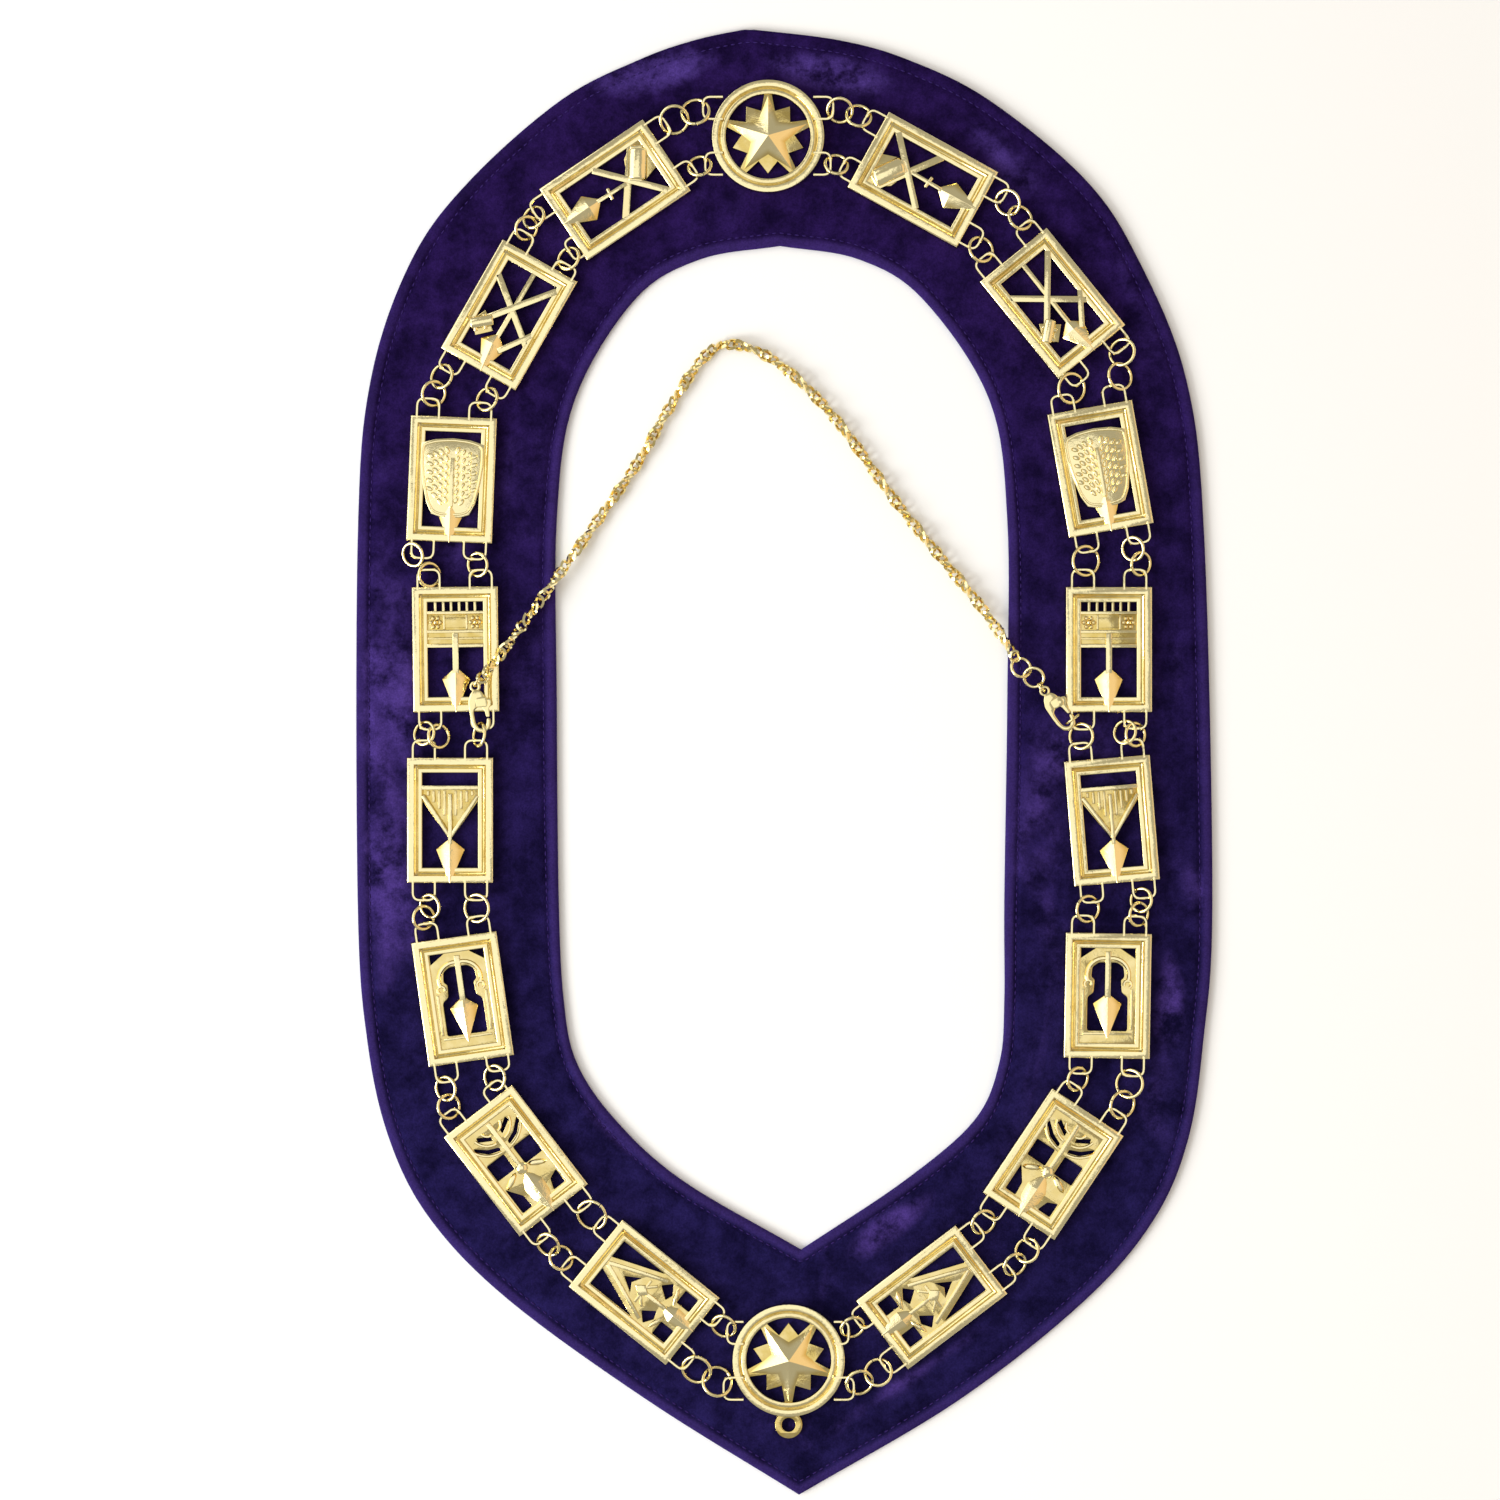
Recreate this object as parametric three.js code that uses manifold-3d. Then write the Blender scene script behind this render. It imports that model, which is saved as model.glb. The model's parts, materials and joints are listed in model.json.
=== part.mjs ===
// A chain of office: a closed velvet band that carries eighteen gilt plates joined by
// a double run of rings, and a thin safety chain across the neck opening that is held
// by a sprung clasp at each end. It lies flat, face up. Millimetres, +Z up, +Y to the nape.
import * as THREE from 'three';
import { mergeVertices } from 'three/addons/utils/BufferGeometryUtils.js';
import { ConvexGeometry } from 'three/addons/geometries/ConvexGeometry.js';
import Module from 'manifold-3d';

const wasm = await Module();
wasm.setup();

// ---- driving dimensions ----
const GAP = 0.4; // clearance between pieces that lie on each other

const BAND_THICKNESS = 3;
const BAND_STEPS = 2; // straight pieces of edge from one table row to the next

const PLAQUE = { width: 34.6, height: 50.2, window: 6.3 }; // window: frame width round the opening
const RIM_TOP = 3.4; // height of a plate's outer rim over its back
const RIM_WIDTH = 3.3;
const RIM_SLOPE = 0.6;
const STEP_TOP = 2.3; // height of the inner step, the panels and the bars
const RIB_TOP = 2.9;
const STAR_TOP = 4;
const BLADE = { edge: 1.8, neck: 2.6, ridge: 3.7, tip: 3.6 }; // heights of a trowel blade
const PLATE_Z = BAND_THICKNESS + GAP;

const MEDALLION = { radius: 22.5, opening: 16.8, rim: 2.6, sides: 16 };
const EYELET = { radius: 5.5, hole: 2.6, reach: 25.8, thickness: 1.8 };

const LUG = { offset: 10.4, width: 10.2, reach: 7.4, wire: 1, z: 2.85, root: 1.5, angle: 30, spare: 1.5 };
const RING = { radius: 4.6, wire: 1, rise: 2.65, hold: 2.2, segments: 8, sides: 3 };
const CLASP_RING_RISE = 4; // the ring that the left clasp grips stands steeply
const CLASP_RING_LIFT = 1.6;

const CHAIN = { radius: 2.2, sides: 8, steps: 30 };
const END_RING = { radius: 1.75, wire: 0.9, reach: 3.7 }; // joins the chain to a clasp's eye
const CLASP = { thickness: 2.6, eyeY: 8.6, eyeRadius: 2.2, eyeHole: 1.15, gripY: -6.3, cheek: 0.6 };
const CLASP_Z = PLATE_Z + RIM_TOP + GAP + CLASP.thickness / 2;
const PIVOT = { x: 2.3, y: 1.6, pin: 0.55, bore: 0.68 }; // of the lever, in the clasp's frame
const LEVER_PLAY = 0.3; // between the lever and each cheek
// The small ring that rests on the right clasp's hook and goes round the lug under it,
// in the clasp's frame.
const HOOK_LINK = { radius: 3.2, wire: 0.9, sides: 4, segments: 12, x: 2.6, y: -7, z: -1.35 };

// Where the velvet's outer and inner edges run, from the nape down to the point.
const BAND_OUTER = [
  { y: 292.6, left: -17.6, right: -9.6 },
  { y: 288.6, left: -36, right: 22.4 },
  { y: 281, left: -57.6, right: 49.2 },
  { y: 265, left: -88.8, right: 81.6 },
  { y: 233, left: -125.2, right: 120.4 },
  { y: 201, left: -148.8, right: 141.6 },
  { y: 153, left: -165.2, right: 160.8 },
  { y: 89, left: -170.4, right: 168 },
  { y: -55, left: -170.4, right: 171.2 },
  { y: -111, left: -166.6, right: 167.6 },
  { y: -151, left: -157.6, right: 161.4 },
  { y: -183, left: -141, right: 147.6 },
  { y: -215, left: -109.8, right: 120.2 },
  { y: -255, left: -54.4, right: 69.6 },
  { y: -292.6, left: 6, right: 6 },
];
const BAND_INNER = [
  { y: 206.2, left: -1.6, right: -1.6 },
  { y: 201, left: -33.6, right: 30 },
  { y: 185, left: -59.6, right: 55.6 },
  { y: 145, left: -83.6, right: 82 },
  { y: 97, left: -90.8, right: 89.2 },
  { y: 25, left: -90.8, right: 89.2 },
  { y: -55, left: -90, right: 88 },
  { y: -95, left: -88, right: 88 },
  { y: -120, left: -82.8, right: 86 },
  { y: -143, left: -67.2, right: 76 },
  { y: -167, left: -40.6, right: 48.2 },
  { y: -194.6, left: 6.8, right: 6.8 },
];

// The plates, in order round the collar. turn is counter-clockwise from above, and a
// plaque's own top points to the nape.
const PLATES = [
  { name: 'medallion_nape', motif: 'star', x: -6.4, y: 249.6, turn: 0 },
  { name: 'plaque_left_1', motif: 'crossed_bars', x: -67.4, y: 228.1, turn: -56 },
  { name: 'plaque_left_2', motif: 'gavel', x: -109.6, y: 178.3, turn: -29.7 },
  { name: 'plaque_left_3', motif: 'sheaf', x: -132.5, y: 112.8, turn: -2.3 },
  { name: 'plaque_left_4', motif: 'colonnade', x: -130.9, y: 45.1, turn: 0.7 },
  { name: 'plaque_left_5', motif: 'wedge', x: -133.1, y: -23, turn: 0 },
  { name: 'plaque_left_6', motif: 'lyre', x: -128.1, y: -94.2, turn: 8.1 },
  { name: 'plaque_left_7', motif: 'fans', x: -106.9, y: -158.6, turn: 37.5 },
  { name: 'plaque_left_8', motif: 'level', x: -55.8, y: -211, turn: 51.2 },
  { name: 'medallion_point', motif: 'star', x: 1.8, y: -238.2, turn: 180 },
  { name: 'plaque_right_8', motif: 'level', x: 58.8, y: -213, turn: -52.8 },
  { name: 'plaque_right_7', motif: 'fans', x: 107.2, y: -160, turn: -33.7 },
  { name: 'plaque_right_6', motif: 'lyre', x: 128.9, y: -92.9, turn: -1 },
  { name: 'plaque_right_5', motif: 'wedge', x: 130.6, y: -23.1, turn: 4.7 },
  { name: 'plaque_right_4', motif: 'colonnade', x: 129.4, y: 45, turn: 0 },
  { name: 'plaque_right_3', motif: 'sheaf', x: 126, y: 117, turn: 10 },
  { name: 'plaque_right_2', motif: 'gavel', x: 106.9, y: 182.9, turn: 39 },
  { name: 'plaque_right_1', motif: 'crossed_bars', x: 55.2, y: 232.2, turn: 61.1 },
];

// The relief of each plaque, in its own frame. A bar crosses the open window from one
// end to the other, a panel fills part of the window, a hole is cut through a panel, a
// rib stands up from a panel, and a blade is the trowel blade with its neck, its
// shoulders, half its width and its tip.
const bar = (x0, y0, x1, y1, width) => ({ x0, y0, x1, y1, width });
const blade = (neck, shoulder, half, tip, lean = 0) => ({ neck, shoulder, half, tip, lean });
const mirrored = (outline) => outline.map(([x, y]) => [-x, y]).reverse();
const rectangle = (x0, y0, x1, y1) => [[x0, y0], [x1, y0], [x1, y1], [x0, y1]];
const WHOLE_WINDOW = rectangle(-11.5, -19.7, 11.5, 19.7);

const LYRE_OPENING = [
  [0, -14], [8, -14], [8, 0], [5.6, 1.2], [5.2, 6.8], [6.6, 7.4], [6.2, 11.8], [3.6, 13.4], [0, 13.4],
];
const FAN_SLOTS = [
  [[-10.8, 12.2], [-7, 8.4], [-2.2, 6.8], [-2.2, 8.2], [-6.4, 10], [-10.8, 13.8]],
  [[-7.6, 14.8], [-2.4, 11.8], [-2.4, 13.4], [-7.2, 16.6]],
];
const LEVEL_HOLES = [
  [[-10.6, -2.4], [-2.8, 18.6], [-10.6, 18.6]],
  [[-9.8, -7.2], [-6, -9.8], [-2.9, -8.6], [-6.4, -3.8]],
  rectangle(-10.6, -18.6, -4.9, -12.7),
];

const MOTIFS = {
  crossed_bars: {
    panels: [[[-11.5, 15.6], [-8.2, 10.6], [-0.8, 6.8], [2.8, 12.2], [0.6, 19.7], [-11.5, 19.7]]],
    bars: [
      bar(11.6, 17.2, -11.2, -3, 2.3),
      bar(-11.6, 15.4, 11.6, -2.6, 2.5),
      bar(0.4, 5, 0, -9, 1.8),
    ],
    blade: blade(-6.4, -11.8, 6.2, -25),
  },
  gavel: {
    panels: [[[-12, -8.6], [-7.8, -13.2], [-2.8, -8.4], [-9.4, -3.4]]],
    bars: [
      bar(0.6, 20, 0.3, -10, 1.9),
      bar(11.6, 17.4, -8, -6.4, 2.1),
      bar(-12, 12.2, 11.6, -6.9, 2.1),
      bar(12, -2.6, 3.4, -14.6, 2),
    ],
    blade: blade(-8.8, -13.6, 5.4, -25.2, 1.2),
  },
  sheaf: {
    panels: [[
      [-11.5, 15.2], [-11.5, -6.2], [-8, -13.6], [-4, -15.2], [4, -15.2], [8, -13.6], [11.5, -6.2],
      [11.5, 15.2], [6, 16.5], [0, 16.9], [-6, 16.5],
    ]],
    blade: blade(-9, -13.4, 5.1, -25.5),
  },
  colonnade: {
    panels: [rectangle(-11.5, 0.8, 11.5, 15.2)],
    bars: [
      ...[-7.9, -4.7, -1.6, 1.6, 4.7, 7.9].map((x) => bar(x, 19.8, x, 15, 1)),
      bar(0, 2, 0, -9, 2.8),
    ],
    blade: blade(-7, -12.8, 6, -25.5),
  },
  wedge: {
    panels: [[[0, -8.2], [11.5, 8.6], [11.5, 13.8], [-11.5, 13.8], [-11.5, 8.6]]],
    ribs: [bar(-10.2, 9.4, -0.6, -5.4, 1.4), bar(10.2, 9.4, 0.6, -5.4, 1.4)],
    blade: blade(-7.2, -12, 5.7, -25.2),
  },
  lyre: {
    panels: [WHOLE_WINDOW],
    holes: [
      [...LYRE_OPENING, ...mirrored(LYRE_OPENING).slice(1, -1)],
      [[-10.8, 13.8], [-5, 18.8], [-10.8, 18.8]],
      [[10.8, 13.8], [10.8, 18.8], [5, 18.8]],
    ],
    bars: [bar(0, 14, 0, 0, 2.6)],
    blade: blade(1.2, -3.4, 6, -17),
  },
  fans: {
    panels: [WHOLE_WINDOW],
    holes: [
      ...FAN_SLOTS, ...FAN_SLOTS.map(mirrored),
      rectangle(-10.8, -2.4, -2.4, 5.4), rectangle(2.4, -3.2, 10.8, 5.4),
      [[-10.5, -7], [-10.5, -18.4], [-5.8, -18.4], [-6.2, -13]],
      [[10.5, -12.4], [6.6, -14], [5, -18.4], [10.5, -18.4]],
    ],
    blade: blade(-5.2, -12, 7.6, -25.4),
  },
  level: {
    panels: [WHOLE_WINDOW],
    holes: [
      ...LEVEL_HOLES, ...LEVEL_HOLES.map(mirrored),
      [[0, 10.2], [-3.6, 4.2], [0, 6.4], [3.6, 4.2]],
    ],
    ribs: [bar(-0.8, 17, -10.2, -3, 1.4), bar(0.8, 17, 10.2, -3, 1.4)],
    blade: blade(-9.6, -15.4, 5.5, -25.8),
  },
};

// ---- finishes ----
const gilt = new THREE.MeshStandardMaterial({ color: 0xd8b85a, roughness: 0.28, metalness: 1 });
const giltDark = new THREE.MeshStandardMaterial({ color: 0xc9a54c, roughness: 0.34, metalness: 1 });
const velvet = new THREE.MeshStandardMaterial({ color: 0x231452, roughness: 0.95, metalness: 0 });

// ---- solids ----
const radians = THREE.MathUtils.degToRad;

function toSolid(geometry) {
  const bare = geometry.clone();
  bare.deleteAttribute('normal');
  bare.deleteAttribute('uv');
  const merged = mergeVertices(bare, 1e-5);
  return new wasm.Manifold(new wasm.Mesh({
    numProp: 3,
    vertProperties: new Float32Array(merged.attributes.position.array),
    triVerts: new Uint32Array(merged.index.array),
  }));
}

function toGeometry(solid) {
  const mesh = solid.getMesh();
  const geometry = new THREE.BufferGeometry();
  geometry.setAttribute('position', new THREE.BufferAttribute(mesh.vertProperties, 3));
  geometry.setIndex(new THREE.BufferAttribute(mesh.triVerts, 1));
  geometry.computeVertexNormals();
  return geometry;
}

const joined = (solids) => solids.reduce((whole, piece) => whole.add(piece));

const shapeOf = (outline) => new THREE.Shape(outline.map(([x, y]) => new THREE.Vector2(x, y)));

function slab(outline, bottom, top, holes = []) {
  const depth = top - bottom;
  const geometry = new THREE.ExtrudeGeometry(shapeOf(outline), { depth, bevelEnabled: false });
  const solid = toSolid(geometry.translate(0, 0, bottom));
  return holes.reduce((rest, hole) => rest.subtract(slab(hole, bottom - 1, top + 1)), solid);
}

const circle = (x, y, radius, sides) => Array.from({ length: sides }, (_, k) => {
  const angle = (2 * Math.PI * k) / sides;
  return [x + radius * Math.cos(angle), y + radius * Math.sin(angle)];
});

const hull = (points) => toSolid(new ConvexGeometry(points.map(([x, y, z]) => new THREE.Vector3(x, y, z))));

// A closed ring of four mitred sides; profile holds [inset from the outer edge, height].
function mitredFrame(width, height, profile) {
  const positions = [];
  for (const [sx, sy] of [[1, -1], [1, 1], [-1, 1], [-1, -1]]) {
    for (const [inset, z] of profile) {
      positions.push(sx * (width / 2 - inset), sy * (height / 2 - inset), z);
    }
  }
  const index = [];
  const n = profile.length;
  for (let side = 0; side < 4; side++) {
    for (let k = 0; k < n; k++) {
      const a = side * n + k;
      const b = side * n + ((k + 1) % n);
      const c = ((side + 1) % 4) * n + ((k + 1) % n);
      const d = ((side + 1) % 4) * n + k;
      index.push(a, d, b, b, d, c);
    }
  }
  const geometry = new THREE.BufferGeometry();
  geometry.setAttribute('position', new THREE.Float32BufferAttribute(positions, 3));
  geometry.setIndex(index);
  return toSolid(geometry);
}

function flatBar({ x0, y0, x1, y1, width }, bottom, top) {
  const across = new THREE.Vector2(y0 - y1, x1 - x0).setLength(width / 2);
  return slab([
    [x0 - across.x, y0 - across.y], [x1 - across.x, y1 - across.y],
    [x1 + across.x, y1 + across.y], [x0 + across.x, y0 + across.y],
  ], bottom, top);
}

function trowelBlade({ neck, shoulder, half, tip, lean }) {
  const edge = [[0, neck], [half, shoulder], [lean, tip], [-half, shoulder]];
  const ridge = [[0, neck, BLADE.neck], [0, shoulder, BLADE.ridge], [lean, tip, BLADE.tip]];
  const foot = edge.map(([x, y]) => [x, y, 0]);
  return hull([...foot, ...edge.map(([x, y]) => [x, y, BLADE.edge]), ...ridge]);
}

// A flat U of wire that is soldered to a plate's edge; it reaches out along +Y.
function lug(root, turn, reach) {
  const half = LUG.width / 2;
  const inner = half - LUG.wire;
  const outline = [
    [-half, -LUG.root], [-inner, -LUG.root], [-inner, reach - LUG.wire], [inner, reach - LUG.wire],
    [inner, -LUG.root], [half, -LUG.root], [half, reach], [-half, reach],
  ];
  const geometry = new THREE.ExtrudeGeometry(shapeOf(outline), { depth: LUG.wire, bevelEnabled: false });
  return toSolid(geometry.rotateZ(radians(turn)).translate(root.x, root.y, LUG.z - LUG.wire / 2));
}

const PLAQUE_PROFILE = [
  [0, 0], [0, RIM_TOP], [RIM_WIDTH, RIM_TOP], [RIM_WIDTH + RIM_SLOPE, STEP_TOP],
  [PLAQUE.window, STEP_TOP], [PLAQUE.window, 0],
];

function plaqueSolid({ panels = [], holes = [], bars = [], ribs = [], blade: trowel }) {
  return joined([
    mitredFrame(PLAQUE.width, PLAQUE.height, PLAQUE_PROFILE),
    ...panels.map((outline) => slab(outline, 0, STEP_TOP, holes)),
    ...bars.map((row) => flatBar(row, 0, STEP_TOP)),
    ...ribs.map((row) => flatBar(row, STEP_TOP - 0.3, RIB_TOP)),
    trowelBlade(trowel),
  ]);
}

// One fifth of the star's web: half an arm that meets the ring, then the point between
// two arms, and the other half of the next arm.
const STAR_WEB = [
  { radius: MEDALLION.opening + 0.9, angle: 4.8 },
  { radius: 10.6, angle: 15 },
  { radius: 14.8, angle: 36 },
  { radius: 10.6, angle: 57 },
  { radius: MEDALLION.opening + 0.9, angle: 67.2 },
];
const STAR_RIDGE = [{ radius: 15.6, angle: 0 }, { radius: 6.4, angle: 36 }];

const starOutline = (rows) => Array.from({ length: 5 }, (_, k) => rows.map(({ radius, angle }) => {
  const turn = radians(90 + 72 * k + angle);
  return [radius * Math.cos(turn), radius * Math.sin(turn)];
})).flat();

// The raised star: ten facets that fall from its middle to its outline.
function starRidge() {
  const foot = starOutline(STAR_RIDGE);
  const heights = [STEP_TOP - 0.5, STEP_TOP + 0.1];
  const positions = foot.flatMap(([x, y]) => [x, y, heights[0], x, y, heights[1]]);
  positions.push(0, 0, heights[0], 0, 0, STAR_TOP);
  const middle = 2 * foot.length;
  const index = foot.flatMap((_, k) => {
    const a = 2 * k;
    const b = 2 * ((k + 1) % foot.length);
    return [middle, b, a, a, b, b + 1, a, b + 1, a + 1, a + 1, b + 1, middle + 1];
  });
  const geometry = new THREE.BufferGeometry();
  geometry.setAttribute('position', new THREE.Float32BufferAttribute(positions, 3));
  geometry.setIndex(index);
  return toSolid(geometry);
}

function medallionSolid(hasEyelet) {
  const { radius, opening, rim, sides } = MEDALLION;
  const profile = [
    [opening, 0], [radius, 0], [radius, RIM_TOP], [radius - rim, RIM_TOP],
    [radius - rim - RIM_SLOPE, STEP_TOP], [opening, STEP_TOP], [opening, 0],
  ].map(([x, z]) => new THREE.Vector2(x, z));
  const pieces = [toSolid(new THREE.LatheGeometry(profile, sides).rotateX(Math.PI / 2))];
  pieces.push(slab(starOutline(STAR_WEB), 0, STEP_TOP), starRidge());
  if (hasEyelet) {
    pieces.push(slab(
      circle(0, EYELET.reach, EYELET.radius, 12), 0, EYELET.thickness,
      [circle(0, EYELET.reach, EYELET.hole, 10)],
    ));
  }
  return joined(pieces);
}

// ---- where the lugs are ----
const turned = (x, y, degrees) => new THREE.Vector2(x, y).rotateAround(new THREE.Vector2(), radians(degrees));

// The root and direction of a plate's lug, in the plate's own frame. end is +1 for the
// end that faces the plate before it in the loop, and -1 for the other; side is +1 for
// the outside of the collar.
function lugPlace(plate, end, side) {
  const onLeft = plate.x < 0 || plate.name === 'medallion_point';
  if (plate.motif === 'star') {
    const toward = end > 0 ? 0 : 180;
    const angle = toward + (end > 0 ? 1 : -1) * side * LUG.angle;
    const root = turned(MEDALLION.radius - 0.3, 0, angle);
    return { root, turn: toward - 90 };
  }
  const up = (onLeft ? 1 : -1) * end;
  const root = new THREE.Vector2((onLeft ? -1 : 1) * side * LUG.offset, (up * PLAQUE.height) / 2);
  return { root, turn: up > 0 ? 0 : 180 };
}

function toCollar(plate, vector) {
  return vector.clone().rotateAround(new THREE.Vector2(), radians(plate.turn))
    .add(new THREE.Vector2(plate.x, plate.y));
}

const direction = (degrees) => turned(0, 1, degrees);

// The runs: from each plate's trailing lugs to the next plate's leading ones. AXIS_PULL
// keeps a ring nearly square to lugs that stand a little to one side of each other.
const AXIS_PULL = 6;
const runs = [];
const reaches = PLATES.map(() => []);
PLATES.forEach((plate, k) => {
  const next = (k + 1) % PLATES.length;
  for (const side of [1, -1]) {
    const from = lugPlace(plate, -1, side);
    const to = lugPlace(PLATES[next], 1, side);
    const rootFrom = toCollar(plate, from.root);
    const rootTo = toCollar(PLATES[next], to.root);
    const reach = Math.min(LUG.reach, rootFrom.distanceTo(rootTo) / 2 - LUG.spare);
    reaches[k].push({ ...from, reach });
    reaches[next].push({ ...to, reach });
    const outward = direction(from.turn + plate.turn);
    const inward = direction(to.turn + PLATES[next].turn);
    const barFrom = rootFrom.clone().addScaledVector(outward, reach - LUG.wire / 2);
    const barTo = rootTo.clone().addScaledVector(inward, reach - LUG.wire / 2);
    const span = barTo.clone().sub(barFrom);
    const axis = span.addScaledVector(outward.clone().sub(inward), AXIS_PULL).normalize();
    runs.push({ from: barFrom, to: barTo, axis, side, after: plate.name });
  }
});

// ---- ring runs ----
// The outer run has two rings and the inner one has one. RING.hold is how far a lug's
// bar lies inside the ring that goes round it.
function ringCentres(length, count) {
  const { hold } = RING;
  const radius = Math.max(RING.radius, (length + (count + 1) * hold) / (2 * count));
  if (count === 1) return { radius, centres: [length / 2] };
  const near = radius - hold;
  const first = length <= 2 * near ? length - near : Math.min(near, length - radius - hold);
  return { radius, centres: [first, length - first] };
}

function ringRun({ from, to, axis, side, after }) {
  const gripped = side < 0 && after === 'plaque_left_4';
  const linked = side < 0 && after === 'plaque_right_5';
  const span = to.clone().sub(from);
  const length = span.dot(axis);
  const { radius, centres } = ringCentres(length, side > 0 ? 2 : 1);
  const roll = Math.asin((gripped ? CLASP_RING_RISE : RING.rise) / radius) * (linked ? -1 : 1);
  const height = PLATE_Z + LUG.z + (gripped ? CLASP_RING_LIFT : 0);
  const middleOfRun = from.clone().addScaledVector(span, 0.5);
  const rings = centres.map((distance) => {
    const middle = middleOfRun.clone().addScaledVector(axis, distance - length / 2);
    const torus = new THREE.TorusGeometry(radius, RING.wire / 2, RING.sides, RING.segments);
    return toSolid(torus.rotateX(roll).rotateZ(axis.angle()).translate(middle.x, middle.y, height));
  });
  return joined(rings);
}

// ---- clasps and safety chain ----
// A clasp lies flat: its eye is at +Y and its hook at -Y. Its lever shuts the hook's open
// side and turns inward on a pin that stands between two cheeks.
function hookLink() {
  const { radius, wire, sides, segments, x, y, z } = HOOK_LINK;
  const torus = new THREE.TorusGeometry(radius, wire / 2, sides, segments).rotateX(Math.PI / 2);
  return toSolid(torus.translate(x, y, z));
}

function hookSolid(linked) {
  const half = CLASP.thickness / 2;
  const hook = [
    [-1.3, 7.2], [-2.6, 5.8], [-3.9, 3], [-4, -2], [-3.9, -5.6], [-3, -8.6], [-1, -10], [1, -10],
    [2.9, -8.8], [3.8, -6.6], [3.9, -4.6], [2.3, -4.6], [2.1, -6.2], [1.2, -7.8], [0, -8.3],
    [-1.2, -7.8], [-2.1, -6.2], [-2.2, -2], [-1.9, -0.4], [-0.4, 0.2], [-0.4, 3.6], [3.2, 3.6],
    [2.6, 5.6], [1.3, 7.2],
  ];
  const hole = circle(0, CLASP.eyeY, CLASP.eyeHole, 8);
  const eye = slab(circle(0, CLASP.eyeY, CLASP.eyeRadius, 12), -CLASP.cheek, CLASP.cheek, [hole]);
  const cheek = [[-1, 0.4], [3.4, -0.2], [3.9, 1.6], [3.6, 3.9], [-1, 3.9]];
  return joined([
    slab(hook, -half, half),
    eye,
    slab(cheek, -half, CLASP.cheek - half),
    slab(cheek, half - CLASP.cheek, half),
    slab(circle(PIVOT.x, PIVOT.y, PIVOT.pin, 8), -half, half),
    ...(linked ? [hookLink()] : []),
  ]);
}

function leverSolid() {
  const half = CLASP.thickness / 2 - CLASP.cheek - LEVER_PLAY;
  const outline = [
    [1.1, 2.8], [0.7, 1.6], [1.1, 0.4], [1.9, -0.6], [2.4, -4.2], [3.7, -4.2], [3.9, -0.6],
    [5.2, 0.6], [5.4, 2.4], [4.3, 3], [2.3, 3.2],
  ];
  return slab(outline, -half, half, [circle(PIVOT.x, PIVOT.y, PIVOT.bore, 8)]);
}

// The left clasp grips the ring under a plaque. The right one lies on a plaque's lug.
const CLASPS = [
  { side: 'left', place: ringPlace('plaque_left_4', 10), turn: 10 },
  { side: 'right', place: new THREE.Vector2(108.5, 21.4), turn: 35 },
];

// Where a clasp lies when the ring passes up through its plane near the ring's upper lug.
function ringPlace(after, turn) {
  const row = runs.find((each) => each.after === after && each.side < 0);
  const { radius } = ringCentres(row.to.clone().sub(row.from).dot(row.axis), 1);
  const rise = CLASP_Z - (PLATE_Z + LUG.z + CLASP_RING_LIFT);
  const along = -radius * Math.cos(Math.asin(rise / CLASP_RING_RISE));
  const aside = rise / Math.tan(Math.asin(CLASP_RING_RISE / radius));
  const middle = row.from.clone().add(row.to).multiplyScalar(0.5);
  return middle.addScaledVector(row.axis, along)
    .addScaledVector(new THREE.Vector2(-row.axis.y, row.axis.x), aside)
    .sub(turned(0, CLASP.gripY, turn));
}

const claspPlaces = CLASPS.map((clasp) => {
  const eye = clasp.place.clone().add(turned(0, CLASP.eyeY, clasp.turn));
  return { ...clasp, eye };
});

// The chain climbs over the band's inner edge at both sides and lies on the ground in
// the neck opening.
const FLOOR_Z = CHAIN.radius + 0.1;
const VELVET_Z = BAND_THICKNESS + GAP + CHAIN.radius;
const CHAIN_ROUTE = [
  { x: -113, y: 42.6, z: CLASP_Z + 1.2 },
  { x: -106, y: 52.3, z: 7.2 },
  { x: -98, y: 63.4, z: VELVET_Z + 0.2 },
  { x: -88, y: 77.4, z: VELVET_Z - 0.2 },
  { x: -79, y: 90.2, z: FLOOR_Z + 0.6 },
  { x: -57.6, y: 121, z: FLOOR_Z },
  { x: -48.4, y: 137.4, z: FLOOR_Z },
  { x: -32.4, y: 161.4, z: FLOOR_Z },
  { x: -20.4, y: 167, z: FLOOR_Z },
  { x: -2.4, y: 159.4, z: FLOOR_Z },
  { x: 20, y: 137.8, z: FLOOR_Z },
  { x: 46.4, y: 101.8, z: FLOOR_Z },
  { x: 76.4, y: 65, z: FLOOR_Z + 0.6 },
  { x: 86.6, y: 50.6, z: VELVET_Z - 0.3 },
  { x: 94.8, y: 39.6, z: VELVET_Z + 0.4 },
];

function endRing(eye, toward) {
  const { radius, wire, reach } = END_RING;
  const away = toward.clone().sub(eye).normalize();
  const torus = new THREE.TorusGeometry(radius, wire / 2, 4, 8).rotateX(Math.PI / 2);
  torus.rotateZ(away.angle()).translate(eye.x + away.x * radius, eye.y + away.y * radius, CLASP_Z);
  return { solid: toSolid(torus), end: eye.clone().addScaledVector(away, reach) };
}

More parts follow.
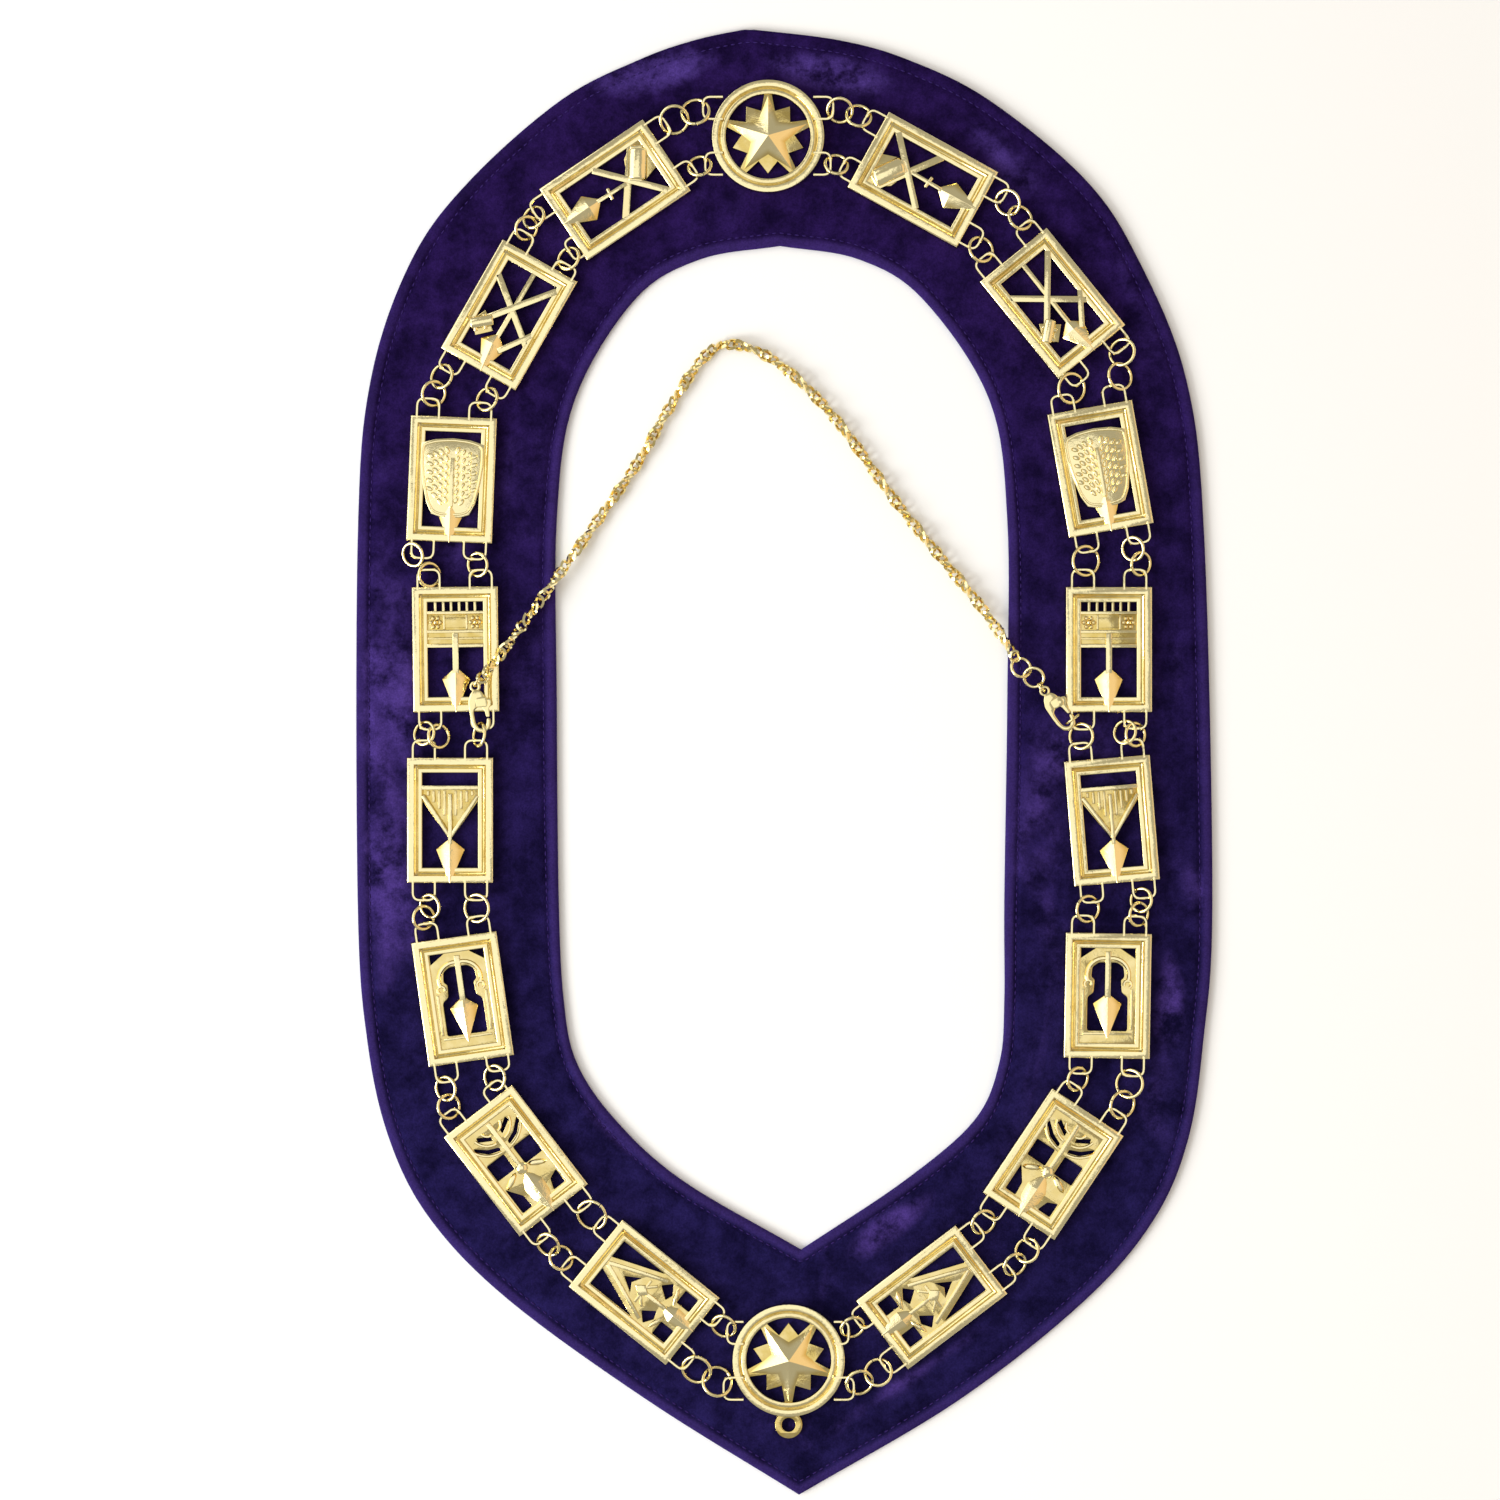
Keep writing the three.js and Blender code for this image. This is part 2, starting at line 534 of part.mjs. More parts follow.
function safetyChain() {
  const [left, right] = claspPlaces;
  const first = CHAIN_ROUTE[0];
  const last = CHAIN_ROUTE[CHAIN_ROUTE.length - 1];
  const start = endRing(left.eye, new THREE.Vector2(first.x, first.y));
  const finish = endRing(right.eye, new THREE.Vector2(last.x, last.y));
  const curve = new THREE.CatmullRomCurve3([
    new THREE.Vector3(start.end.x, start.end.y, CLASP_Z),
    ...CHAIN_ROUTE.map(({ x, y, z }) => new THREE.Vector3(x, y, z)),
    new THREE.Vector3(finish.end.x, finish.end.y, CLASP_Z),
  ], false, 'centripetal');
  const section = shapeOf(circle(0, 0, CHAIN.radius, CHAIN.sides));
  const along = { steps: CHAIN.steps, extrudePath: curve, bevelEnabled: false };
  const tube = new THREE.ExtrudeGeometry(section, along);
  return joined([toSolid(tube), start.solid, finish.solid]);
}

// ---- velvet band ----
function bandOutline(rows) {
  const side = (key) => new THREE.SplineCurve(rows.map((row) => new THREE.Vector2(row[key], row.y)))
    .getPoints(BAND_STEPS * (rows.length - 1));
  const left = side('left');
  const right = side('right').reverse();
  const closed = [...left, ...right.slice(1)];
  return closed[0].distanceTo(closed[closed.length - 1]) < 1e-6 ? closed.slice(0, -1) : closed;
}

function velvetBand() {
  const shape = new THREE.Shape(bandOutline(BAND_OUTER));
  shape.holes = [new THREE.Path(bandOutline(BAND_INNER))];
  return toSolid(new THREE.ExtrudeGeometry(shape, { depth: BAND_THICKNESS, bevelEnabled: false }));
}

// ---- assembly ----
const collar = new THREE.Group();

function addPiece(name, geometry, material, x = 0, y = 0, z = 0, turn = 0) {
  const mesh = new THREE.Mesh(geometry, material);
  mesh.name = name;
  mesh.position.set(x, y, z);
  mesh.rotation.z = radians(turn);
  collar.add(mesh);
}

addPiece('velvet_band', toGeometry(velvetBand()), velvet);

PLATES.forEach((plate, k) => {
  const body = plate.motif === 'star'
    ? medallionSolid(plate.name === 'medallion_point')
    : plaqueSolid(MOTIFS[plate.motif]);
  const lugs = reaches[k].map(({ root, turn, reach }) => lug(root, turn, reach));
  addPiece(plate.name, toGeometry(joined([body, ...lugs])), gilt, plate.x, plate.y, PLATE_Z, plate.turn);
});

for (const run of runs) {
  const name = `rings_${run.side > 0 ? 'outer' : 'inner'}_after_${run.after}`;
  addPiece(name, toGeometry(ringRun(run)), giltDark);
}

addPiece('safety_chain', toGeometry(safetyChain()), giltDark);

for (const { side, place, turn } of claspPlaces) {
  const hook = hookSolid(side === 'right');
  addPiece(`clasp_${side}`, toGeometry(hook), gilt, place.x, place.y, CLASP_Z, turn);
  addPiece(`clasp_lever_${side}`, toGeometry(leverSolid()), giltDark, place.x, place.y, CLASP_Z, turn);
}

export default collar;
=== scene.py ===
"""A chain of office: gilt plates and jump rings on a padded velvet collar, lying flat."""
import json
import math
import random

import bmesh
import bpy
from mathutils import Matrix, Vector, noise
from mathutils.geometry import interpolate_bezier


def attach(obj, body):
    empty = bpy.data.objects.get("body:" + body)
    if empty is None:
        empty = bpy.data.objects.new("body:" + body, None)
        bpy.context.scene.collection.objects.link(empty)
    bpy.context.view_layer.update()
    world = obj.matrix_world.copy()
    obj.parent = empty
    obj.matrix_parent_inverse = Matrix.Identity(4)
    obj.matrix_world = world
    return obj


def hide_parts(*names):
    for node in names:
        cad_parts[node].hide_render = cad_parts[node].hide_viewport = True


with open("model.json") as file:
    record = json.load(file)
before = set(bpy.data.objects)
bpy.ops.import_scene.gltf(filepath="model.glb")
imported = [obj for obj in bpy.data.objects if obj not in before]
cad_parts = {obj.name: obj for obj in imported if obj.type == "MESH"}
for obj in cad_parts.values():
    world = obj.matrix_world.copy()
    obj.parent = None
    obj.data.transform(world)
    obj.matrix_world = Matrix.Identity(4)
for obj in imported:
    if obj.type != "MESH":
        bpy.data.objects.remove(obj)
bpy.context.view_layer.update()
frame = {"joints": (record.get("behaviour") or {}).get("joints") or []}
rng = random.Random(7)

MM = 0.001
COLLAR = "collar"

# ---- heights over the table, in millimetres ----
VELVET_Z = 3.0
PLATE_Z = 3.4
CLASP_Z = 8.5

# ---- heights over a plate's back, in millimetres ----
FOOT = 0.2
BLADE_FOOT = 0.3
PANEL_TOP = 2.1
RIM_TOP = 3.4
STAR_TOP = 4.8
BLADE_TOPS = {"neck": 2.3, "shoulder": 1.2, "tip": 3.4}
RIDGE_TOPS = {"neck": 2.7, "shoulder": 4.0, "tip": 3.55}

# ---- sizes of the plates, in millimetres ----
PLAQUE = {"width": 34.6, "height": 50.2}
MEDALLION = {"radius": 22.5, "opening": 16.8}
STAR = {"tip": 16.8, "notch": 7.4, "base": 1.7, "web_top": 1.8}
EYELET = {"radius": 5.5, "hole": 2.7, "reach": 25.8, "thickness": 1.8}

# ---- sizes of the wire parts, in millimetres and degrees ----
LUG = {"offset": 10.4, "width": 10.2, "reach": 7.4, "wire": 1.4, "z": 2.85, "angle": 30, "spare": 1.5,
       "root": 1.2, "bend": 3.0, "sunk": 0.3}
RING = {"radius": 4.6, "wire": 1.4, "rise": 2.65, "hold": 2.2, "cut": 0.05}
CHAIN = {"pitch": 2.9, "length": 6.0, "width": 4.8, "wire": 1.4, "tilt": 27, "twist": 40, "sway": 9,
         "start": 3.4, "lowest": 0.05}
END_RING = {"radius": 2.0, "wire": 1.1, "tilt": 70}
BIG_RING = {"radius": 4.0, "wire": 1.3, "tilt": 24, "heading": -38, "cut": 0.06}

# Where the velvet's edges run, from the nape down to the point: y, x on the left, x on the right.
BAND_OUTER = [
    (292.6, -17.6, -9.6), (288.6, -36, 22.4), (281, -57.6, 49.2), (265, -88.8, 81.6),
    (233, -125.2, 120.4), (201, -148.8, 141.6), (153, -165.2, 160.8), (89, -170.4, 168),
    (-55, -170.4, 171.2), (-111, -166.6, 167.6), (-151, -157.6, 161.4), (-183, -141, 147.6),
    (-215, -109.8, 120.2), (-255, -54.4, 69.6), (-292.6, 6, 6),
]
BAND_INNER = [
    (206.2, -1.6, -1.6), (201, -33.6, 30), (185, -59.6, 55.6), (145, -83.6, 82), (97, -90.8, 89.2),
    (25, -90.8, 89.2), (-55, -90, 88), (-95, -88, 88), (-120, -82.8, 86), (-143, -67.2, 76),
    (-167, -40.6, 48.2), (-194.6, 6.8, 6.8),
]

# The plates in order round the collar: name, motif, x, y, turn.
PLATES = [
    ("medallion_nape", "star", -6.4, 249.6, 0),
    ("plaque_left_1", "crossed_bars", -67.4, 228.1, -56),
    ("plaque_left_2", "gavel", -109.6, 178.3, -29.7),
    ("plaque_left_3", "sheaf", -132.5, 112.8, -2.3),
    ("plaque_left_4", "colonnade", -130.9, 45.1, 0.7),
    ("plaque_left_5", "wedge", -133.1, -23, 0),
    ("plaque_left_6", "lyre", -128.1, -94.2, 8.1),
    ("plaque_left_7", "fans", -106.9, -158.6, 37.5),
    ("plaque_left_8", "level", -55.8, -211, 51.2),
    ("medallion_point", "star", 1.8, -238.2, 180),
    ("plaque_right_8", "level", 58.8, -213, -52.8),
    ("plaque_right_7", "fans", 107.2, -160, -33.7),
    ("plaque_right_6", "lyre", 128.9, -92.9, -1),
    ("plaque_right_5", "wedge", 130.6, -23.1, 4.7),
    ("plaque_right_4", "colonnade", 129.4, 45, 0),
    ("plaque_right_3", "sheaf", 126, 117, 10),
    ("plaque_right_2", "gavel", 106.9, 182.9, 39),
    ("plaque_right_1", "crossed_bars", 55.2, 232.2, 61.1),
]


# ---------------------------------------------------------------- small tools
# Points nearer to each other than this, in millimetres, are one point.
WELD = 0.002


def turn_about(axis, degrees):
    return Matrix.Rotation(math.radians(degrees), 4, axis)


def placed(x=0.0, y=0.0, z=0.0, turn=0.0):
    """The matrix that takes a shape in millimetres to its place in the collar, in metres."""
    return Matrix.Translation((x * MM, y * MM, z * MM)) @ turn_about("Z", turn) @ Matrix.Scale(MM, 4)


def moved(x, y, z, turn):
    """The matrix that moves and turns a shape within its own piece, in millimetres."""
    return Matrix.Translation((x, y, z)) @ turn_about("Z", turn)


def new_object(name, data):
    """An object at the origin, in the scene."""
    made = bpy.data.objects.new(name, data)
    bpy.context.scene.collection.objects.link(made)
    return made


def finished_mesh(name, part):
    """The bmesh `part` as a mesh. The bmesh is used up."""
    mesh = bpy.data.meshes.new(name)
    part.to_mesh(mesh)
    part.free()
    return mesh


def add(whole, part, matrix=Matrix()):
    """Puts the finished shape `part` into the bmesh `whole`."""
    part.transform(matrix)
    mesh = finished_mesh("part", part)
    whole.from_mesh(mesh)
    bpy.data.meshes.remove(mesh)
    return whole


def tidy(part):
    """Closes the seams of a shape and turns its faces outwards."""
    bmesh.ops.remove_doubles(part, verts=part.verts, dist=WELD)
    bmesh.ops.recalc_face_normals(part, faces=part.faces)
    return part


def from_curve(curve):
    """The mesh of a curve, as a bmesh with its seams closed."""
    holder = bpy.data.objects.new("outline", curve)
    mesh = bpy.data.meshes.new_from_object(holder)
    part = bmesh.new()
    part.from_mesh(mesh)
    bpy.data.objects.remove(holder)
    bpy.data.curves.remove(curve)
    bpy.data.meshes.remove(mesh)
    return tidy(part)


def add_line(curve, points, closed):
    """Adds a line of straight runs to a curve. Its points may be flat or in space."""
    spline = curve.splines.new("POLY")
    spline.points.add(len(points) - 1)
    for spot, co in zip(spline.points, points):
        spot.co = (*co, *(0,) * (3 - len(co)), 1)
    spline.use_cyclic_u = closed


def slab(outline, bottom, top, edge=0.22, holes=()):
    """A flat casting with rounded edges and holes right through it."""
    curve = bpy.data.curves.new("slab", "CURVE")
    curve.dimensions = "2D"
    curve.fill_mode = "BOTH"
    curve.extrude = (top - bottom) / 2 - edge
    curve.bevel_depth = edge
    curve.bevel_resolution = 1
    curve.offset = -edge
    for line in (outline, *holes):
        add_line(curve, line, True)
    part = from_curve(curve)
    part.transform(Matrix.Translation((0, 0, (top + bottom) / 2)))
    return part


def wire(points, thickness, closed=False, resolution=1):
    """A round wire along a line, with closed ends."""
    curve = bpy.data.curves.new("wire", "CURVE")
    curve.dimensions = "3D"
    curve.bevel_depth = thickness / 2
    curve.bevel_resolution = resolution
    curve.use_fill_caps = not closed
    add_line(curve, points, closed)
    return from_curve(curve)


def rounded(points, radius, steps=3, closed=True):
    """The line with an arc in place of each corner."""
    line = [Vector(p) for p in points]
    out = []
    for k, corner in enumerate(line):
        if not closed and k in (0, len(line) - 1):
            out.append(tuple(corner))
            continue
        before = line[k - 1] - corner
        after = line[(k + 1) % len(line)] - corner
        reach = min(radius, before.length / 2.1, after.length / 2.1)
        start = corner + before.normalized() * reach
        end = corner + after.normalized() * reach
        for step in range(steps + 1):
            share = step / steps
            blended = start.lerp(corner, share).lerp(corner.lerp(end, share), share)
            out.append(tuple(blended))
    return out


def mirrored(outline):
    """The outline on the other side of the plate, running the same way round."""
    return [(-x, y) for x, y in reversed(outline)]


def rectangle(x0, y0, x1, y1):
    return [(x0, y0), (x1, y0), (x1, y1), (x0, y1)]


def arc(x, y, radius, start, stop, steps):
    """Points on an arc round (x, y), from one angle in degrees to another."""
    angles = [math.radians(start + (stop - start) * k / steps) for k in range(steps + 1)]
    return [(x + radius * math.cos(a), y + radius * math.sin(a)) for a in angles]


def round_line(x, y, radius, count=16):
    """A circle of `count` points round (x, y)."""
    angles = [math.tau * k / count for k in range(count)]
    return [(x + radius * math.cos(a), y + radius * math.sin(a)) for a in angles]


def bar(x0, y0, x1, y1, width, top):
    """A rounded bar on a plate, from one point to another."""
    start, stop = Vector((x0, y0)), Vector((x1, y1))
    run = Vector((x1 - x0, y1 - y0))
    across = Vector((-run.y, run.x)).normalized() * width / 2
    outline = [start - across, stop - across, stop + across, start + across]
    return slab(outline, FOOT, top, min(0.5, width * 0.3))


def soften(part, edges, offset, segments):
    """Rounds off some edges of a shape."""
    bmesh.ops.bevel(part, geom=edges, offset=offset, segments=segments, profile=0.5, affect="EDGES",
                    material=-1)


def smooth_line(points, steps=8):
    """A smooth curve through the points."""
    line = [Vector(p) for p in points]
    ends = [line[0] * 2 - line[1], *line, line[-1] * 2 - line[-2]]
    out = []
    for k in range(1, len(ends) - 2):
        before, start, stop, after = ends[k - 1:k + 3]
        lean_out, lean_in = (stop - before) / 6, (after - start) / 6
        out += interpolate_bezier(start, start + lean_out, stop - lean_in, stop, steps + 1)[:-1]
    return [*out, line[-1]]


def line_length(line):
    return sum((b - a).length for a, b in zip(line, line[1:]))


def evenly(line, count):
    """`count` points at even steps along a line, both ends included."""
    lengths = [0.0]
    for a, b in zip(line, line[1:]):
        lengths.append(lengths[-1] + (b - a).length)
    out, k = [], 0
    for step in range(count):
        target = lengths[-1] * step / (count - 1)
        while k < len(line) - 2 and lengths[k + 1] < target:
            k += 1
        share = (target - lengths[k]) / max(lengths[k + 1] - lengths[k], 1e-9)
        out.append(line[k].lerp(line[k + 1], share))
    return out


def shade(part, limit):
    """Smooth faces with sharp edges where they turn by more than the limit."""
    for face in part.faces:
        face.smooth = True
    for edge in part.edges:
        if len(edge.link_faces) == 2:
            edge.smooth = edge.calc_face_angle(0) < math.radians(limit)


def make_piece(name, part, material, body=COLLAR, replaces=(), smooth_limit=34):
    """The last step of every piece: its mesh, its finish, and the body that it rides on."""
    shade(part, smooth_limit)
    piece = new_object(name, finished_mesh(name, part))
    piece.data.materials.append(material)
    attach(piece, body)
    if replaces:
        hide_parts(*replaces)
    return piece


# ---------------------------------------------------------------- finishes
def new_group(name, inputs, outputs):
    """An empty shader group with named inputs and outputs."""
    group = bpy.data.node_groups.new(name, "ShaderNodeTree")
    for label, kind, value in inputs:
        socket = group.interface.new_socket(label, in_out="INPUT", socket_type=kind)
        socket.default_value = value
    for label, kind in outputs:
        group.interface.new_socket(label, in_out="OUTPUT", socket_type=kind)
    return group, group.nodes.new("NodeGroupInput"), group.nodes.new("NodeGroupOutput")


def new_material(name):
    """A material with its node tree and its Principled shader."""
    material = bpy.data.materials.new(name)
    material.use_nodes = True
    return material, material.node_tree, material.node_tree.nodes["Principled BSDF"]


def node(tree, kind, links=None, **settings):
    """A node with its settings; links maps an input to a value or to another node's output."""
    made = tree.nodes.new(kind)
    for key, value in settings.items():
        setattr(made, key, value)
    for key, value in (links or {}).items():
        if isinstance(value, bpy.types.NodeSocket):
            tree.links.new(value, made.inputs[key])
        else:
            made.inputs[key].default_value = value
    return made


def ramp(tree, value, low, high):
    """A soft step from 0 to 1 as the value goes from low to high."""
    links = {0: value, 1: low, 2: high}
    return node(tree, "ShaderNodeMapRange", links, interpolation_type="SMOOTHSTEP").outputs[0]


def mix(tree, share, first, second, blend="MIX"):
    """The second colour over the first one, by a share from 0 to 1."""
    links = {0: share, 6: first, 7: second}
    return node(tree, "ShaderNodeMix", links, data_type="RGBA", blend_type=blend).outputs[2]


def maths(tree, operation, *values):
    """An operation such as MULTIPLY_ADD on values and other nodes' outputs."""
    return node(tree, "ShaderNodeMath", dict(enumerate(values)), operation=operation).outputs[0]


def grains(tree, place, scale, detail, **more):
    """Noise with about `scale` grains in a metre."""
    links = {"Vector": place, "Scale": scale, "Detail": detail, **more}
    return node(tree, "ShaderNodeTexNoise", links).outputs[0]


def bumped(tree, strength, distance, height, **under):
    """The normal of a surface that rises by up to `distance` metres where `height` is 1."""
    links = {"Strength": strength, "Distance": distance, "Height": height, **under}
    return node(tree, "ShaderNodeBump", links).outputs[0]


def object_place(tree):
    return node(tree, "ShaderNodeTexCoord").outputs["Object"]


def set_inputs(shader, values):
    for key, value in values.items():
        shader.inputs[key].default_value = value


def cast_group():
    """Gilt casting: fine pits, soft waves, and painted shade in the recesses, darker the lower the surface
    lies.
    """
    group, inputs, outputs = new_group(
        "gilt casting",
        [("Bright", "NodeSocketColor", (1, 1, 1, 1)), ("ShadeTone", "NodeSocketColor", (0.5, 0.5, 0.5, 1)),
         ("Foot", "NodeSocketFloat", 0.0), ("Top", "NodeSocketFloat", 1.0),
         ("Gloss", "NodeSocketFloat", 0.25), ("Bump", "NodeSocketFloat", 0.2)],
        [("Color", "NodeSocketColor"), ("Roughness", "NodeSocketFloat"), ("Normal", "NodeSocketVector")],
    )
    given = inputs.outputs
    place = object_place(group)
    height = node(group, "ShaderNodeSeparateXYZ", {0: place}).outputs[2]
    relief = node(group, "ShaderNodeMapRange", {0: height, 1: given["Foot"], 2: given["Top"]}).outputs[0]
    patches = grains(group, place, 180.0, 3.0)
    pits = grains(group, place, 1900.0, 2.0)
    # Painted shade: the lower a surface lies between Foot and Top, the more of the shade colour it takes.
    shaded = mix(group, ramp(group, relief, 0.0, 0.9), given["ShadeTone"], given["Bright"])
    toned = mix(group, ramp(group, patches, 0.38, 0.7), shaded, given["Bright"])
    rough = maths(group, "MULTIPLY_ADD", pits, 0.12, given["Gloss"])
    waves = bumped(group, given["Bump"], 0.6 * MM, patches)
    pitted = bumped(group, given["Bump"], 0.08 * MM, pits, Normal=waves)
    group.links.new(mix(group, 0.45, shaded, toned), outputs.inputs["Color"])
    group.links.new(rough, outputs.inputs["Roughness"])
    group.links.new(pitted, outputs.inputs["Normal"])
    return group


def gilt(name, group, bright, shade_tone, foot, top, gloss, bump):
    """Gilt metal with painted shade: its shade colour at the height `foot` over the table, and its bright
    colour at `top`.
    """
    material, tree, shader = new_material(name)
    links = {"Bright": (*bright, 1), "ShadeTone": (*shade_tone, 1), "Foot": foot * MM, "Top": top * MM,
             "Gloss": gloss, "Bump": bump}
    finish = node(tree, "ShaderNodeGroup", links, node_tree=group)
    for output, socket in (("Color", "Base Color"), ("Roughness", "Roughness"), ("Normal", "Normal")):
        tree.links.new(finish.outputs[output], shader.inputs[socket])
    set_inputs(shader, {"Metallic": 1.0})
    material.diffuse_color = (*bright, 1)
    return material


# The darkest and the palest standing pile, each at the point of the collar and at the nape.
DARK_PILE = [(0.0058, 0.0045, 0.029, 1), (0.0075, 0.0035, 0.029, 1)]
PALE_PILE = [(0.0190, 0.0138, 0.094, 1), (0.0265, 0.0106, 0.102, 1)]
# The colour of painted sheen on brushed pile and on the hems' rims.
BRUSHED_PILE_SHEEN = (0.078, 0.043, 0.27, 1)
SHEEN = (0.16, 0.08, 0.62, 1)
# What the velvet's colour is multiplied by between its tufts and on them.
TUFT_TONES = [(0.72, 0.72, 0.72, 1), (1, 1, 1, 1)]
THREAD_TONES = [(0.026, 0.014, 0.1, 1), (0.046, 0.025, 0.155, 1)]

# The hem map holds how strongly painted sheen lightens a hem, and the distance from the band's edge in units
# of 100 mm. The painted sheen starts at HEM_DARK from the edge and is full by HEM_LIT.
HEM_SHEEN = 0.36
HEM_UNIT = 0.01
HEM_DARK = 0.052
HEM_LIT = 0.026

# Strokes where the pile has been brushed the other way and is painted lighter with sheen: x and y of the
# middle, length, width, heading, and how plainly it shows.
BRUSHED_SHEEN = [
    (-46, 277, 76, 20, 12, 1.0), (24, 274, 76, 20, -14, 1.0), (86, 242, 70, 18, -46, 0.45),
    (157, 38, 84, 15, 92, 0.5), (154, -94, 44, 18, 88, 0.8), (45, -183, 56, 20, 38, 1.2),
    (-158, -10, 280, 34, 90, 0.55), (52, -244, 120, 11, 34, 0.6), (-70, -147, 70, 11, -42, 0.6),
]


def brushed_sheen_mask(tree, place):
    """How much painted sheen the brushed strokes put on a point: 0 outside them all, and a stroke's own
    strength in its middle."""
    total = 0.0
    for x, y, length, width, heading, strength in BRUSHED_SHEEN:
        ellipse = {
            "Vector": place, "Location": (x * MM, y * MM, 0),
            "Rotation": (0, 0, math.radians(heading)), "Scale": (length / 2 * MM, width / 2 * MM, 1),
        }
        inside = node(tree, "ShaderNodeMapping", ellipse, vector_type="TEXTURE").outputs[0]
        soft = node(tree, "ShaderNodeTexGradient", {"Vector": inside}, gradient_type="SPHERICAL")
        total = maths(tree, "MULTIPLY_ADD", soft.outputs[1], strength, total)
    return total


def velvet_material():
    """Cut pile: dark where it stands, with painted sheen that makes it lighter and bluer where it is brushed
    and along the rims of its hems.
    """
    material, tree, shader = new_material("violet velvet")
    place = object_place(tree)
    hem_map = node(tree, "ShaderNodeUVMap", uv_map="hem").outputs[0]
    sheen_strength, inset, _ = node(tree, "ShaderNodeSeparateXYZ", {0: hem_map}).outputs
    stretched = node(tree, "ShaderNodeMapping", {"Vector": place, "Scale": (1.0, 0.62, 1.0)}).outputs[0]
    broad = grains(tree, stretched, 15.0, 4.0, Roughness=0.62, Distortion=0.7)
    small = grains(tree, place, 90.0, 5.0, Roughness=0.7)
    pile = grains(tree, place, 1500.0, 2.0)

    # Painted sheen: the brushed strokes and broad random patches lighten the pile in flecks, and the hems'
    # rims add theirs.
    stroked = maths(tree, "MULTIPLY_ADD", brushed_sheen_mask(tree, place), 0.42, broad)
    flecked = maths(tree, "MULTIPLY", ramp(tree, stroked, 0.56, 0.84), ramp(tree, small, 0.3, 0.66))
    # Painted sheen along each hem's rim, as strong as the hem map allows.
    hem_lit = maths(tree, "MULTIPLY", ramp(tree, inset, HEM_DARK, HEM_LIT), sheen_strength)
    sheen_share = maths(tree, "MAXIMUM", flecked, hem_lit)

    height = node(tree, "ShaderNodeSeparateXYZ", {0: place}).outputs[1]
    toward_nape = ramp(tree, height, -0.2, 0.25)
    dark = mix(tree, toward_nape, *DARK_PILE)
    pale = mix(tree, toward_nape, *PALE_PILE)
    standing = mix(tree, ramp(tree, small, 0.28, 0.74), dark, pale)
    colour = mix(tree, sheen_share, standing, BRUSHED_PILE_SHEEN)
    tufts = mix(tree, ramp(tree, pile, 0.3, 0.7), *TUFT_TONES)
    tree.links.new(mix(tree, 1.0, colour, tufts, "MULTIPLY"), shader.inputs["Base Color"])

    lean = bumped(tree, 0.5, 4 * MM, broad)
    tree.links.new(bumped(tree, 0.6, 0.3 * MM, pile, Normal=lean), shader.inputs["Normal"])
    set_inputs(shader, {"Roughness": 0.9, "Specular IOR Level": 0.0, "Sheen Weight": 0.35,
                        "Sheen Roughness": 0.35, "Sheen Tint": SHEEN})
    return material


def thread_material():
    """Matt thread of the velvet's own colour."""
    material, tree, shader = new_material("violet thread")
    strands = grains(tree, object_place(tree), 900.0, 3.0)
    tree.links.new(mix(tree, strands, *THREAD_TONES), shader.inputs["Base Color"])
    set_inputs(shader, {"Roughness": 0.9, "Specular IOR Level": 0.0})
    return material


# ---------------------------------------------------------------- velvet
# How far the edges rise over their first row, in the middle of the nape.
NAPE_RISE = 0.2
# Points along one side of an edge.
LOOP_STEPS = 360


def band_half(rows, column, count):
    """One side of an edge of the velvet, from the middle of the nape down to the point."""
    middle = (rows[0][1] + rows[0][2]) / 2
    line = [Vector((middle, rows[0][0] + NAPE_RISE, 0))]
    for row in rows:
        if row is rows[-1] or abs(row[column] - middle) > 1e-6:
            line.append(Vector((row[column], row[0], 0)))
    return evenly(smooth_line(line), count)


def band_edge(rows):
    """An edge of the velvet as a closed loop of points, down the left and up the right."""
    left = band_half(rows, 1, LOOP_STEPS + 1)
    right = band_half(rows, 2, LOOP_STEPS + 1)
    return left[:-1] + right[:0:-1]


# The velvet's rolled hem from its edge to the middle of the band, over and under: how far in,
# and how high. The seam is the dip in it.
HEM = [
    (0.0, 1.4), (0.15, 2.0), (0.5, 2.5), (1.1, 2.8), (2.2, 2.95), (3.6, 2.9), (4.5, 2.65), (5.0, 2.3),
    (5.5, 2.3), (6.1, 2.65), (7.2, 2.88), (9.0, 2.98),
]
UNDER = [(0.15, 0.8), (0.6, 0.3), (1.4, 0.05), (5.0, 0.0)]
MIDDLE_STEPS = 16
SEAM = {"inset": 5.25, "z": 2.42}
STITCH = {"pitch": 3.0, "half_sizes": (1.05, 0.3, 0.22)}
# The slight waves in the velvet's top: their height, their length, and which waves they are.
RIPPLE = {"height": 0.14, "length": 24, "choice": 3.7}


def velvet_section():
    """Rows as (side, distance in from that side's edge or share of the middle, height), from
    under the outer hem, over the top, to under the inner hem."""
    rows = [("outer", inset, z) for inset, z in reversed(UNDER)]
    rows += [("outer", inset, z) for inset, z in HEM]
    rows += [("middle", k / MIDDLE_STEPS, VELVET_Z) for k in range(1, MIDDLE_STEPS)]
    rows += [("inner", inset, z) for inset, z in reversed(HEM)]
    rows += [("inner", inset, z) for inset, z in UNDER]
    return rows


def reach_across(side, inset, width):
    """How far in from the outer edge a row of the section lies, where the band is this wide."""
    if side == "outer":
        return inset
    if side == "inner":
        return width - inset
    hem_width = HEM[-1][0]
    return hem_width + (width - 2 * hem_width) * inset


